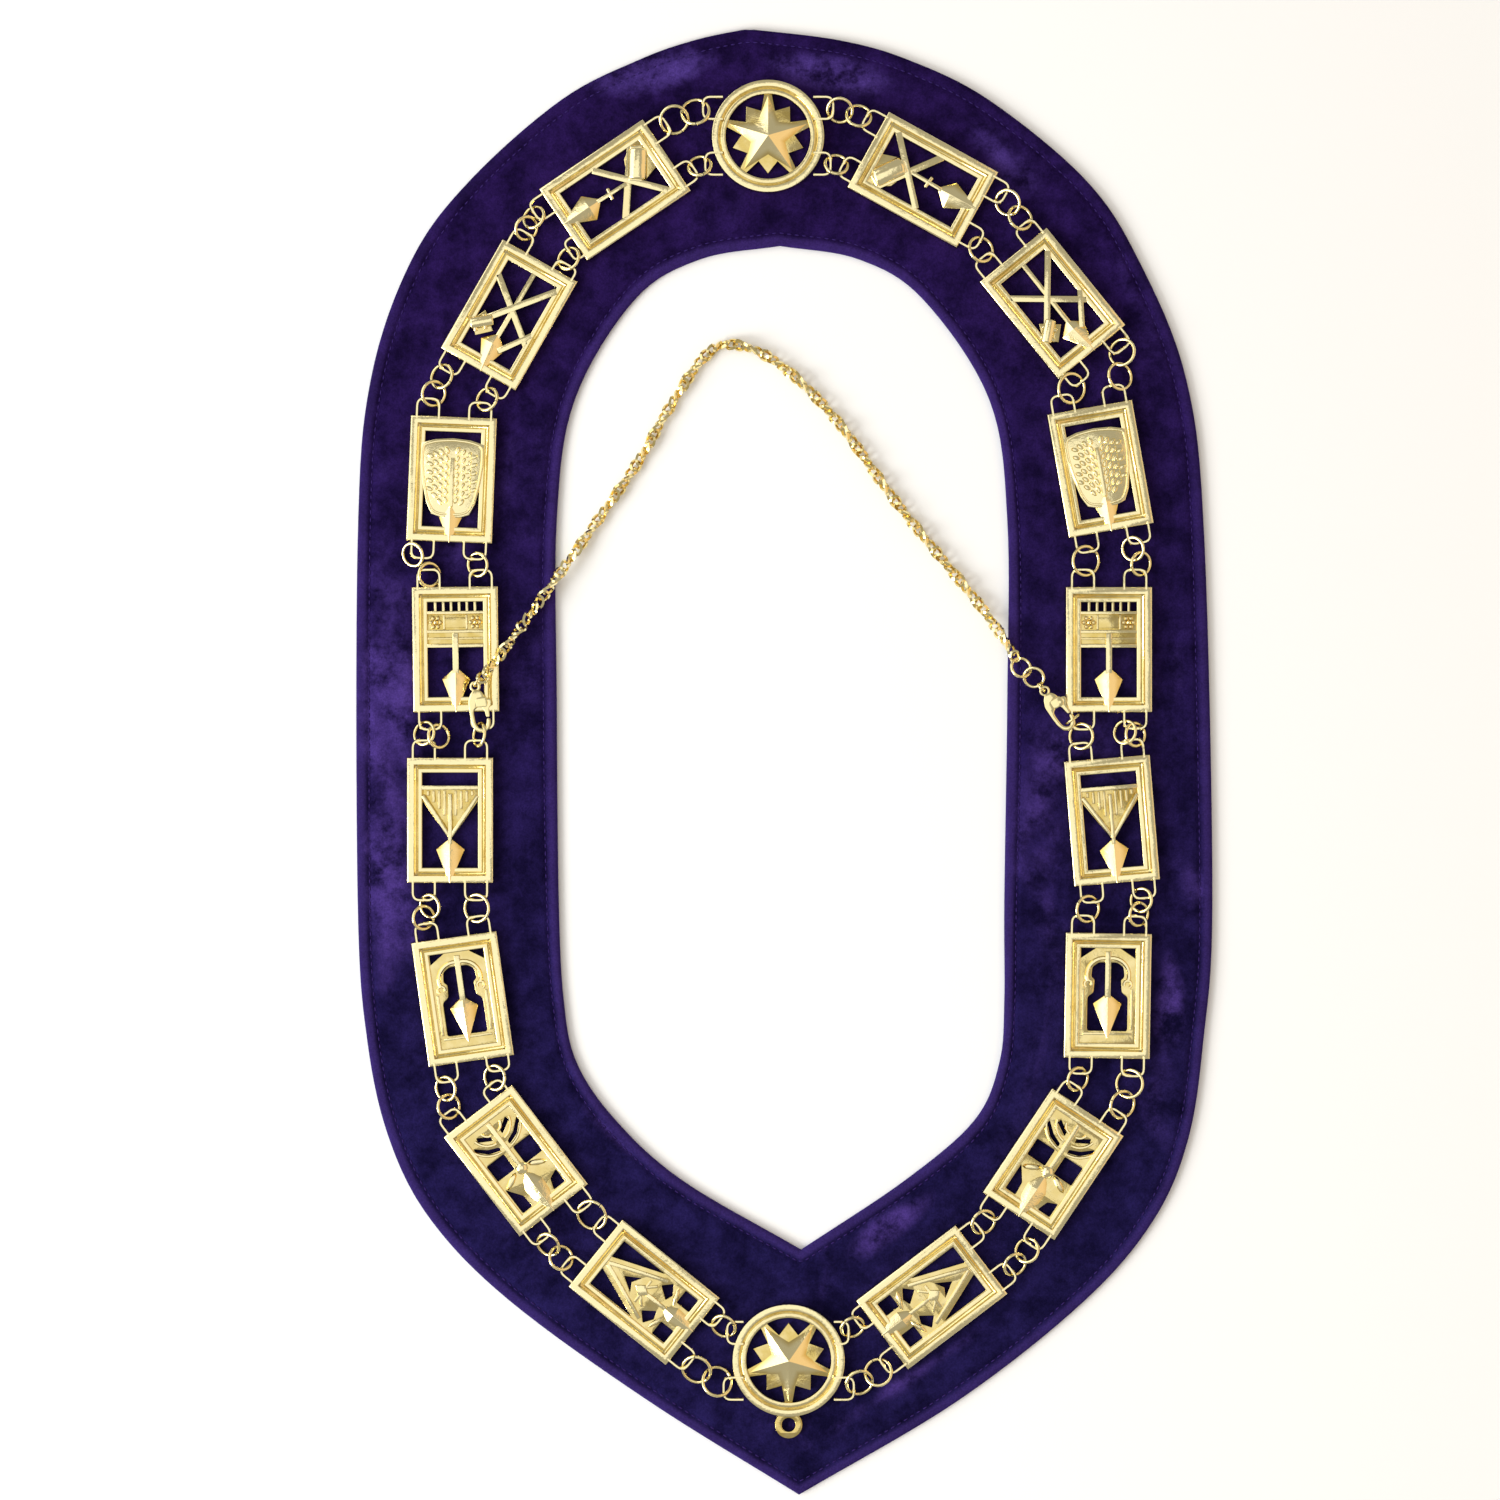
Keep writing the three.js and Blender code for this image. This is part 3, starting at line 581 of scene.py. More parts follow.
def velvet_spot(row, start, stop):
    """A point on the section from `start`, on the outer edge, to `stop`, and its place on the hem map. The
    outer hem gets less painted sheen round the nape, where it faces away from the key light."""
    side, inset, z = row
    width = (stop - start).length
    reach = reach_across(side, inset, width)
    from_edge = min(reach, width - reach)
    spot = start.lerp(stop, reach / width)
    on_top = z > 1.5 and from_edge > 1.0
    if on_top:
        wave = Vector((spot.x / RIPPLE["length"], spot.y / RIPPLE["length"], RIPPLE["choice"]))
        z += RIPPLE["height"] * noise.noise(wave)
    # Painted sheen on the outer hem fades where it faces the nape.
    faces_nape = max(0.0, (start - stop).normalized().y) if reach < width / 2 else 0.0
    return (spot.x * MM, spot.y * MM, z * MM), (HEM_SHEEN * (1 - faces_nape), from_edge * HEM_UNIT)


def velvet_band(material):
    """A grid that is wrapped round the collar and round its own section, then closed."""
    outer = band_edge(BAND_OUTER)
    inner = band_edge(BAND_INNER)
    section = velvet_section()
    part = bmesh.new()
    bmesh.ops.create_grid(part, x_segments=len(outer), y_segments=len(section), size=0.5)
    hem_map = part.loops.layers.uv.new("hem")
    hem_of = {}
    for vert in part.verts:
        along = round((vert.co.x + 0.5) * len(outer)) % len(outer)
        row = round((vert.co.y + 0.5) * len(section)) % len(section)
        vert.co, hem_of[vert] = velvet_spot(section[row], outer[along], inner[along])
    for face in part.faces:
        for loop in face.loops:
            loop[hem_map].uv = hem_of[loop.vert]
    bmesh.ops.remove_doubles(part, verts=part.verts, dist=0.01 * MM)
    bmesh.ops.recalc_face_normals(part, faces=part.faces)
    piece = make_piece("velvet", part, material, replaces=["velvet_band"], smooth_limit=80)
    return outer, inner


def hem_stitches(outer, inner, material):
    """Small stitches that lie in the seam behind each hem."""
    part = bmesh.new()
    for edge, other in ((outer, inner), (inner, outer)):
        seam = [a.lerp(b, SEAM["inset"] / (b - a).length) for a, b in zip(edge, other)]
        seam.append(seam[0])
        points = evenly(seam, int(line_length(seam) / STITCH["pitch"]))
        for here, there in zip(points, points[1:]):
            middle = (here + there) / 2
            stitch = bmesh.new()
            bmesh.ops.create_uvsphere(stitch, u_segments=6, v_segments=4, radius=1)
            bmesh.ops.scale(stitch, vec=STITCH["half_sizes"], verts=stitch.verts)
            heading = math.degrees(math.atan2(there.y - here.y, there.x - here.x))
            add(part, stitch, placed(middle.x, middle.y, SEAM["z"], heading))
    make_piece("hem_stitches", part, material, smooth_limit=80)


# ---------------------------------------------------------------- plates
# The plaque's moulding as steps from its outer edge: how far in, and how far up.
MOULDING = [
    (0, 2.8), (0.25, 0.4), (0.4, 0.2), (1.95, 0), (0.35, -0.15), (0.2, -0.45), (0.75, -0.75), (0.3, -0.1),
    (0.2, 0.1), (0.12, 0.5), (0.25, 0.25), (1.05, 0), (0.3, -0.2), (0.15, -0.4),
]


def plaque_frame():
    """The stepped frame: one face that is set in and raised step by step, mitred at its corners."""
    part = bmesh.new()
    bmesh.ops.create_grid(part, x_segments=1, y_segments=1, size=0.5)
    bmesh.ops.scale(part, vec=(PLAQUE["width"], PLAQUE["height"], 1), verts=part.verts)
    face = part.faces[:][0]
    height = 0.0
    for inset, rise in MOULDING:
        bmesh.ops.inset_individual(part, faces=[face], thickness=inset, depth=rise, use_even_offset=True)
        height += rise
    bmesh.ops.inset_individual(part, faces=[face], thickness=0, depth=-height, use_even_offset=True)
    bmesh.ops.delete(part, geom=[face], context="FACES_ONLY")
    rims = [edge for edge in part.edges if edge.is_boundary]
    bmesh.ops.bridge_loops(part, edges=rims)
    bmesh.ops.recalc_face_normals(part, faces=part.faces)
    return part


def trowel_blade(neck, shoulder, half, tip, lean=0.0):
    """A pointed blade of four facets that meet in a ridge. It lies over the frame at its tip."""
    part = bmesh.new()
    corners = [
        (0, neck, BLADE_TOPS["neck"]), (half, shoulder, BLADE_TOPS["shoulder"]),
        (lean, tip, BLADE_TOPS["tip"]), (-half, shoulder, BLADE_TOPS["shoulder"]),
    ]
    ridge = [
        (0, neck - 0.5, RIDGE_TOPS["neck"]), (0, shoulder, RIDGE_TOPS["shoulder"]),
        (lean, tip + 0.4, RIDGE_TOPS["tip"]),
    ]
    for x, y, z in corners:
        part.verts.new((x, y, BLADE_FOOT))
        part.verts.new((x, y, z))
    for spot in ridge:
        part.verts.new(spot)
    made = bmesh.ops.convex_hull(part, input=part.verts)
    left_over = made["geom_interior"] + made["geom_unused"]
    spare = {item for item in left_over if isinstance(item, bmesh.types.BMVert)}
    bmesh.ops.delete(part, geom=list(spare), context="VERTS")
    bmesh.ops.dissolve_limit(part, angle_limit=math.radians(2), verts=part.verts, edges=part.edges)
    soften(part, part.edges[:], 0.14, 2)
    return tidy(part)


def knob(x, y, z, radius, squash, sides=12):
    """A rounded boss."""
    part = bmesh.new()
    bmesh.ops.create_uvsphere(part, u_segments=sides, v_segments=sides // 2, radius=radius)
    bmesh.ops.scale(part, vec=(1, 1, squash), verts=part.verts)
    part.transform(Matrix.Translation((x, y, z)))
    return part


def barrel(x0, y0, x1, y1, z, radius, squash):
    """A round roll with softened ends, lying from one point to another."""
    run = Vector((x1 - x0, y1 - y0, 0))
    part = bmesh.new()
    bmesh.ops.create_cone(part, cap_ends=True, segments=20, radius1=radius, radius2=radius, depth=run.length)
    cap = run.length / 2 - 0.01
    rims = [edge for edge in part.edges
            if all(vert.co.z > cap for vert in edge.verts) or all(vert.co.z < -cap for vert in edge.verts)]
    soften(part, rims, radius * 0.3, 3)
    part.transform(turn_about("Y", 90))
    part.transform(Matrix.Rotation(math.atan2(run.y, run.x), 4, "Z"))
    bmesh.ops.scale(part, vec=(1, 1, squash), verts=part.verts)
    part.transform(Matrix.Translation(((x0 + x1) / 2, (y0 + y1) / 2, z)))
    return part


def leaf(x, y, z, length, width, heading, height):
    """A long boss that points along its heading."""
    part = knob(0, 0, 0, 1, 1, 8)
    bmesh.ops.scale(part, vec=(length / 2, width / 2, height), verts=part.verts)
    part.transform(moved(x, y, z, heading))
    return part


# ---- the plaques' reliefs, in millimetres from the middle of the plaque ----
# The panel that fills the whole frame, where the relief is cut from it.
PANEL = rectangle(-11.7, -19.6, 11.7, 19.6)


def relief_crossed_bars():
    """Two bars crossed under a rolled scroll."""
    head = [(-11.6, 15.0), (-8.2, 9.8), (-0.8, 6.4), (3.4, 12.4), (1.2, 19.7), (-11.6, 19.7)]
    yield slab(head, FOOT, PANEL_TOP, 0.3)
    yield bar(11.9, 17.6, -11.5, -3.2, 2.8, 3.0)
    yield bar(-11.8, 15.4, 11.8, -2.8, 3.0, 2.6)
    yield barrel(-8.8, 17.0, 1.4, 9.6, 1.7, 4.0, 0.62)
    yield barrel(-10.6, 14.4, -8.2, 18.6, 2.2, 1.0, 1.0)
    yield barrel(2.9, 11.2, -0.6, 7.0, 2.2, 1.0, 1.0)
    yield bar(0.4, 5.2, 0.05, -8.6, 1.7, 3.1)
    yield barrel(-2.2, -2.2, 2.6, -2.9, 2.4, 0.8, 0.9)
    yield trowel_blade(-6.4, -12.4, 5.7, -25.4)


def relief_gavel():
    """Three bars, a small gavel head and a fourth bar that meets the frame."""
    yield bar(0.6, 19.6, 0.3, -10.4, 2.1, 2.7)
    yield bar(11.8, 17.5, -8.2, -6.6, 2.7, 3.1)
    yield bar(-12, 12.2, 11.8, -7.4, 2.7, 2.8)
    yield bar(12, -2.6, 3.2, -14.8, 2.4, 2.9)
    yield slab([(-12, -8.6), (-7.8, -13.6), (-2.4, -8.6), (-9.2, -2.8)], FOOT, 2.2, 0.3)
    yield barrel(-11.8, -10.6, -4.6, -4.6, 2.2, 2.5, 0.75)
    yield barrel(-5.4, -9.6, -8.9, -4.6, 2.3, 0.9, 1.1)
    yield barrel(-8.4, -12.2, -11.9, -7.4, 2.3, 0.9, 1.1)
    yield trowel_blade(-8.4, -13.2, 5.4, -25.4, 1.2)


def relief_sheaf():
    """A shield with an arched head that lies over the frame, and two mirrored sprays of grain."""
    right = [
        (0, -15.2), (4, -15.2), (7.6, -14), (9.8, -9.6), (11.7, -1.4), (12.7, 6), (12.6, 14.2), (7, 15.9),
        (0, 16.5),
    ]
    shield = right + mirrored(right)[1:-1]
    top = 2.95
    yield slab(shield, FOOT, top, 0.4)
    border = [(x * 0.93, y * 0.93 + 0.2, top) for x, y in rounded(shield, 2.0)]
    yield wire(border, 0.9, True)
    for side in (1, -1):
        for row in range(7):
            for column in range(4):
                x = side * (2.1 + 2.2 * column)
                y = 11.6 - 3.3 * row - 0.8 * column
                inside_shield = abs(x) + max(0, -0.8 * y - 4) < 9.6
                if inside_shield:
                    yield leaf(x, y, top, 3.2, 1.8, 90 - side * (24 + 14 * column), 0.75)
    yield bar(0, 8.6, 0, -11.0, 1.9, 3.9)
    yield trowel_blade(-8.6, -13.4, 5.3, -25.6)


def rosette(x, y):
    """Six small bosses round a larger one."""
    yield knob(x, y, 1.5, 1.1, 1.3)
    for k in range(6):
        angle = math.tau * k / 6
        yield knob(x + 1.9 * math.cos(angle), y + 1.9 * math.sin(angle), 1.5, 0.95, 1.0, 8)


def relief_colonnade():
    """A row of small piers over a band with two rosettes, and two tall windows under it."""
    for x in (-7.9, -4.7, -1.6, 1.6, 4.7, 7.9):
        yield bar(x, 19.4, x, 14.8, 1.15, 2.6)
    yield slab(rectangle(-11.6, 0.7, 11.6, 15.3), FOOT, 1.5, 0.2)
    yield bar(-11.4, 14.7, 11.4, 14.7, 1.3, 2.8)
    yield bar(-11.4, 7.2, 11.4, 7.2, 1.3, 2.7)
    yield bar(-11.4, 4.4, 11.4, 4.4, 1.0, 2.3)
    yield bar(-11.4, 1.5, 11.4, 1.5, 1.6, 2.8)
    yield slab(rectangle(-4.6, 8.6, 4.6, 12.8), FOOT, 2.0, 0.3)
    for side in (1, -1):
        yield from rosette(side * 7.9, 10.8)
        yield bar(side * 4.5, 8.0, side * 4.5, 13.8, 0.9, 2.6)
    yield bar(0, 6.6, 0, -9.6, 2.6, 3.2)
    yield trowel_blade(-6.6, -11.8, 5.6, -25.4)


def relief_wedge():
    """A fluted wedge that points down between raised borders."""
    ground = [(0, -8.2), (11.6, 8.4), (11.6, 13.9), (-11.6, 13.9), (-11.6, 8.4)]
    yield slab(rounded(ground, 0.4), FOOT, 1.4, 0.2)
    yield bar(-11.4, 13.0, 11.4, 13.0, 1.8, 2.9)
    for side in (1, -1):
        yield bar(side * 11.0, 9.9, side * 0.3, -6.4, 1.6, 3.0)
        for k in range(1, 5):
            x = side * 2.2 * k
            yield bar(x, 11.8, x, 11.8 - (11.4 - 2.4 * k) * 1.1, 1.15, 2.5)
    yield bar(0, 10.6, 0, -9.6, 1.7, 3.3)
    yield trowel_blade(-6.8, -11.6, 5.7, -25.4)


# The right half of the keyhole window.
LYRE_WINDOW = [(8, -14), (8, -0.6), (5.6, 1.2), (5.2, 6.4), (6.6, 7.4), (6.2, 11.4), (3.6, 13.2)]


def relief_lyre():
    """Two horns that curl in over a keyhole window, with a blade that hangs in it."""
    opening = rounded(LYRE_WINDOW + mirrored(LYRE_WINDOW), 0.9)
    corner = [(10.8, 15.0), (10.8, 18.9), (5.0, 18.9)]
    yield slab(PANEL, FOOT, PANEL_TOP, holes=[opening, corner, mirrored(corner)])
    for side in (1, -1):
        horn = [(side * x, y, 2.2) for x, y in arc(1.6, 8.2, 6.8, -20, 98, 9)]
        curl = [(side * x, y, 2.3) for x, y in arc(7.9, 4.6, 1.5, -60, 200, 8)]
        yield wire(horn, 1.7)
        yield wire(curl, 1.2)
        yield bar(side * 9.7, 2.6, side * 9.7, -13.6, 1.2, 2.6)
    yield bar(-9.8, -15.2, 9.8, -15.2, 1.0, 2.6)
    yield bar(0, 17.6, 0, -1, 2.5, 3.0)
    yield trowel_blade(1.2, -3.2, 5.7, -17.4)


# The openings between the ribs, on the left.
FAN_SLOTS = [
    [(-10.8, 12.2), (-7, 8.4), (-2.2, 6.8), (-2.2, 8.2), (-6.4, 10), (-10.8, 13.8)],
    [(-7.6, 14.8), (-2.4, 11.8), (-2.4, 13.4), (-7.2, 16.6)],
]


def relief_fans():
    """Two fans of curved ribs over square windows, a boss and a broad blade."""
    windows = [
        rectangle(-10.8, -2.4, -2.4, 5.0), rectangle(2.4, -3.2, 10.8, 5.0),
        [(-10.5, -7), (-10.5, -18.4), (-5.8, -18.4), (-6.2, -13)],
        [(10.5, -12.4), (6.6, -14), (5, -18.4), (10.5, -18.4)],
    ]
    holes = [*FAN_SLOTS, *[mirrored(slot) for slot in FAN_SLOTS], *windows]
    yield slab(PANEL, FOOT, PANEL_TOP, holes=[rounded(hole, 0.5, 2) for hole in holes])
    for side in (1, -1):
        for radius, top in ((11.4, 2.15), (7.4, 2.2), (3.6, 2.25)):
            rib = [(side * x, y, top) for x, y in arc(1.2, 17.4, radius, -84, -12, 8)]
            yield wire(rib, 1.2)
        yield leaf(side * 6.4, -5.6, 2.2, 8.0, 2.6, side * 152, 1.2)
    yield bar(0, 18.6, 0, -6.5, 2.0, 3.0)
    yield knob(0, -3.8, 2.2, 2.6, 0.62, 14)
    yield trowel_blade(-5.4, -11.8, 6.3, -25.4)


# The openings outside the legs, on the left, and the one under the apex.
LEVEL_HOLES = [
    [(-10.8, -1.8), (-3.0, 18.8), (-10.8, 18.8)],
    [(-9.8, -7.2), (-6, -9.8), (-2.9, -8.6), (-6.4, -3.8)],
    rectangle(-10.8, -18.8, -4.9, -12.7),
]
APEX_HOLE = [(0, 10.2), (-3.6, 4.2), (0, 6.4), (3.6, 4.2)]


def relief_level():
    """A plain A-shaped level with a plumb wedge under its cross-bar."""
    holes = [*LEVEL_HOLES, *[mirrored(hole) for hole in LEVEL_HOLES], APEX_HOLE]
    yield slab(PANEL, FOOT, PANEL_TOP, holes=[rounded(hole, 0.35, 2) for hole in holes])
    for side in (1, -1):
        yield bar(side * 0.3, 18.4, side * 9.4, -5.0, 1.7, 2.9)
        yield bar(side * 0.2, 2.2, side * 5.2, -3.0, 1.2, 2.6)
        yield leaf(side * 6.4, -11.2, 2.1, 8.0, 2.1, side * 20, 0.7)
    yield bar(-5.4, 0.6, 5.4, 0.6, 1.2, 2.7)
    yield slab([(0, 4.6), (2.6, 1.2), (0, -2.4), (-2.6, 1.2)], 0.4, 3.0, 0.5)
    yield bar(0, -1.4, 0, -11.0, 1.7, 3.0)
    yield trowel_blade(-9.4, -14.8, 5.2, -25.4)


RELIEFS = {
    "crossed_bars": relief_crossed_bars, "gavel": relief_gavel, "sheaf": relief_sheaf,
    "colonnade": relief_colonnade, "wedge": relief_wedge, "lyre": relief_lyre,
    "fans": relief_fans, "level": relief_level,
}


def plaque(motif):
    """A framed plate with its own relief."""
    part = plaque_frame()
    for shape in RELIEFS[motif]():
        add(part, shape)
    return part


# The medallion's rim in section: distance from the middle, and height.
RIM_SECTION = [
    (MEDALLION["opening"], FOOT), (MEDALLION["opening"], 2.2), (17.0, 2.5), (17.3, 2.6), (18.6, 2.6),
    (18.8, 2.5), (19.0, 2.1), (19.3, 2.0), (19.6, 2.2), (19.7, 3.0), (19.95, 3.32), (20.3, RIM_TOP),
    (21.9, RIM_TOP), (22.3, 3.28), (MEDALLION["radius"], 2.9), (MEDALLION["radius"], FOOT),
]
# The web from one tip of the star to the next: distance from the middle, and angle from the tip.
STAR_WEB = [(17.2, 4.8), (10.6, 15), (14.8, 36), (10.6, 57), (17.2, 67.2)]


def round_rim():
    """The medallion's stepped rim, spun from its section."""
    part = bmesh.new()
    verts = [part.verts.new((x, 0, z)) for x, z in RIM_SECTION]
    for a, b in zip(verts, verts[1:] + verts[:1]):
        part.edges.new((a, b))
    bmesh.ops.spin(part, geom=part.verts[:] + part.edges[:], cent=(0, 0, 0), axis=(0, 0, 1),
                   angle=math.tau, steps=72, use_merge=True, use_duplicate=False)
    return tidy(part)


def star():
    """The pointed web, and on it the faceted star whose ridges run out to the rim."""
    web = []
    for k in range(5):
        for radius, angle in STAR_WEB:
            turn = math.radians(90 + 72 * k + angle)
            web.append((radius * math.cos(turn), radius * math.sin(turn)))
    part = slab(web, FOOT, STAR["web_top"], 0.2)
    facets = bmesh.new()
    bmesh.ops.create_cone(facets, cap_ends=True, segments=10, radius1=1, radius2=0, depth=1)
    for vert in facets.verts:
        if vert.co.z > 0:
            vert.co = (0, 0, STAR_TOP)
            continue
        step = round((math.degrees(math.atan2(vert.co.y, vert.co.x)) - 90) / 36)
        radius = STAR["notch"] if step % 2 else STAR["tip"]
        aim = math.radians(90 + 36 * step)
        vert.co = (radius * math.cos(aim), radius * math.sin(aim), STAR["base"])
    bmesh.ops.recalc_face_normals(facets, faces=facets.faces)
    return add(part, facets)


def medallion(has_eyelet):
    """A round plate with its star. One of the two has an eyelet for a jewel."""
    part = round_rim()
    add(part, star())
    if has_eyelet:
        ring = round_line(0, EYELET["reach"], EYELET["radius"], 36)
        hole = round_line(0, EYELET["reach"], EYELET["hole"], 36)
        add(part, slab(ring, FOOT, EYELET["thickness"], 0.4, [hole]))
    return part


# ---------------------------------------------------------------- lugs and rings
def turned(x, y, degrees):
    """A point in the plane, turned round the origin."""
    return Matrix.Rotation(math.radians(degrees), 2) @ Vector((x, y))


def lug_place(plate, end, side):
    """Where a lug starts on its plate, and its heading. `end` is 1 towards the plate before this
    one in the loop, otherwise -1. `side` is 1 on the outside of the collar, otherwise -1."""
    name, motif, x, _, _ = plate
    on_left = x < 0 or name == "medallion_point"
    if motif == "star":
        toward = 0 if end > 0 else 180
        spot = turned(MEDALLION["radius"] - LUG["sunk"], 0, toward + end * side * LUG["angle"])
        return spot, toward - 90
    up = end if on_left else -end
    out = -side if on_left else side
    return Vector((out * LUG["offset"], up * PLAQUE["height"] / 2)), 0 if up > 0 else 180


def to_collar(plate, spot):
    """A point on a plate, in the collar's own place."""
    _, _, x, y, turn = plate
    return turned(spot.x, spot.y, turn) + Vector((x, y))


# How strongly a run of rings lines up with its two lugs where they aren't in line.
AXIS_PULL = 6


def find_runs():
    """Each run of rings between two lugs, and the lugs of each plate with how far they reach."""
    runs, lugs = [], [[] for _ in PLATES]
    for k, plate in enumerate(PLATES):
        after = (k + 1) % len(PLATES)
        for side in (1, -1):
            ends = [(plate, *lug_place(plate, -1, side)), (PLATES[after], *lug_place(PLATES[after], 1, side))]
            roots = [to_collar(owner, spot) for owner, spot, _ in ends]
            reach = min(LUG["reach"], (roots[1] - roots[0]).length / 2 - LUG["spare"])
            lugs[k].append((ends[0][1], ends[0][2], reach))
            lugs[after].append((ends[1][1], ends[1][2], reach))
            heads = [turned(0, 1, heading + owner[4]) for owner, _, heading in ends]
            bars = [root + head * (reach - LUG["wire"] / 2) for root, head in zip(roots, heads)]
            axis = (bars[1] - bars[0] + (heads[0] - heads[1]) * AXIS_PULL).normalized()
            runs.append({"from": bars[0], "to": bars[1], "axis": axis, "side": side, "after": plate[0]})
    return runs, lugs


def lug(root, heading, reach):
    """A soldered U of wire."""
    half = (LUG["width"] - LUG["wire"]) / 2
    far = reach - LUG["wire"] / 2
    line = [(-half, -LUG["root"], 0), (-half, far, 0), (half, far, 0), (half, -LUG["root"], 0)]
    part = wire(rounded(line, LUG["bend"], 5, False), LUG["wire"])
    part.transform(moved(root.x, root.y, LUG["z"], heading))
    return part


def jump_ring(radius, thickness, cut, steps=30):
    """A ring of round wire in the XY plane. The saw cut, at +X, is an angle in radians."""
    part = bmesh.new()
    bmesh.ops.create_circle(part, cap_ends=False, segments=8, radius=thickness / 2,
                            matrix=Matrix.Translation((radius, 0, 0)) @ turn_about("X", 90))
    bmesh.ops.spin(part, geom=part.verts[:] + part.edges[:], cent=(0, 0, 0), axis=(0, 0, 1),
                   angle=math.tau - cut, steps=steps, use_merge=cut == 0, use_duplicate=False)
    if cut:
        rims = [edge for edge in part.edges if edge.is_boundary]
        bmesh.ops.holes_fill(part, edges=rims, sides=0)
    return tidy(part)


def ring_centres(length, count):
    """The radius of a run's rings and where their centres lie along it. A ring is held `hold`
    inside the lug or the ring that it passes through."""
    hold = RING["hold"]
    radius = max(RING["radius"], (length + (count + 1) * hold) / (2 * count))
    if count == 1:
        return radius, [length / 2]
    near = radius - hold
    first = length - near if length <= 2 * near else min(near, length - radius - hold)
    return radius, [first, length - first]


# Rings that have slid where a run is slack: sideways, along the run, and how far they turn.
SLACK_RINGS = {
    "rings_outer_after_plaque_left_3": [(-4.4, 0.6, 20), (1.0, 0, -12)],
    "rings_outer_after_plaque_left_4": [(-1.2, -0.6, -16), (4.6, 0.4, 24)],
    "rings_outer_after_plaque_left_5": [(2.2, 0, 14), (-0.6, 0, -8)],
    "rings_outer_after_plaque_right_3": [(0.8, 0.6, 16), (1.8, 1.8, -18)],
    "rings_outer_after_plaque_right_4": [(1.4, 0, -10), (-2.0, 0, 18)],
    "rings_outer_after_plaque_right_5": [(0.8, 0, 10), (-3.4, 0.6, -22)],
}
# A ring that stands steeply between its lugs: how far it rises over its middle, and its lift.
GRIPPED = {"rings_inner_after_plaque_left_4": (4.0, 1.6)}
# A ring that leans the other way.
TURNED_OVER = {"rings_inner_after_plaque_right_5"}


def ring_run(run, material):
    """The rings of one run, each leaning the other way from the one before it."""
    name = f"rings_{'outer' if run['side'] > 0 else 'inner'}_after_{run['after']}"
    span = run["to"] - run["from"]
    length = span.dot(run["axis"])
    radius, centres = ring_centres(length, 2 if run["side"] > 0 else 1)
    middle = run["from"] + span / 2
    heading = math.degrees(math.atan2(run["axis"].y, run["axis"].x))
    rise, lift = GRIPPED.get(name, (RING["rise"], 0))
    roll = math.asin(rise / radius) * (-1 if name in TURNED_OVER else 1)
    part = bmesh.new()
    for k, distance in enumerate(centres):
        aside, along, turn = SLACK_RINGS.get(name, [(0, 0, 0), (0, 0, 0)])[k]
        spot = middle + run["axis"] * (distance - length / 2)
        spot += Vector((aside, along if span.y > 0 else -along))
        shape = jump_ring(radius, RING["wire"], 0.0 if name in GRIPPED else RING["cut"])
        shape.transform(Matrix.Rotation(rng.uniform(0.8, 2.4), 4, "Z"))
        lean = -roll if k % 2 else roll
        shape.transform(Matrix.Rotation(lean * (1 if name in GRIPPED else rng.uniform(0.86, 1.0)), 4, "X"))
        add(part, shape, placed(spot.x, spot.y, PLATE_Z + LUG["z"] + lift, heading + turn))
    make_piece(f"jump_{name}", part, material, replaces=[name], smooth_limit=60)


# ---------------------------------------------------------------- clasps and safety chain
# Which way each clasp is turned on the velvet.
CLASP_TURNS = {"left": 10, "right": 35}
CLASP = {"half_thickness": 1.3, "cheek": 0.6, "lever_half": 0.4}
EYE = {"y": 8.6, "radius": 2.2, "hole": 1.15, "half_thickness": 0.6}
PIVOT = (2.3, 1.6)
PIN = {"radius": 0.55, "length": 2.9, "lever_hole": 0.68}
# The small ring on the right hook: its size, and its middle from the clasp's own origin.
HOOK_LINK = {"radius": 3.2, "wire": 1.0, "middle": (2.6, -7, -1.35)}
# The hook and its shank, from the shoulder by the eye, round the bend to the open point and back.
HOOK_OUTLINE = [
    (-1.3, 7.2), (-2.6, 5.8), (-3.9, 3), (-4, -2), (-3.9, -5.6), (-3, -8.6), (-1, -10), (1, -10), (2.9, -8.8),
    (3.8, -6.6), (3.9, -4.6), (2.3, -4.6), (2.1, -6.2), (1.2, -7.8), (0, -8.3), (-1.2, -7.8), (-2.1, -6.2),
    (-2.2, -2), (-1.9, -0.4), (-0.4, 0.2), (-0.4, 3.6), (3.2, 3.6), (2.6, 5.6), (1.3, 7.2),
]
CHEEK = [(-1, 0.4), (3.4, -0.2), (3.9, 1.6), (3.6, 3.9), (-1, 3.9)]
LEVER_OUTLINE = [
    (1.1, 2.8), (0.7, 1.6), (1.1, 0.4), (1.9, -0.6), (2.4, -4.2), (3.7, -4.2), (3.9, -0.6), (5.2, 0.6),
    (5.4, 2.4), (4.3, 3), (2.3, 3.2),
]


def clasp_eye():
    """The round eye at the clasp's head."""
    half = EYE["half_thickness"]
    rim = round_line(0, EYE["y"], EYE["radius"], 20)
    return slab(rim, -half, half, 0.4, [round_line(0, EYE["y"], EYE["hole"])])


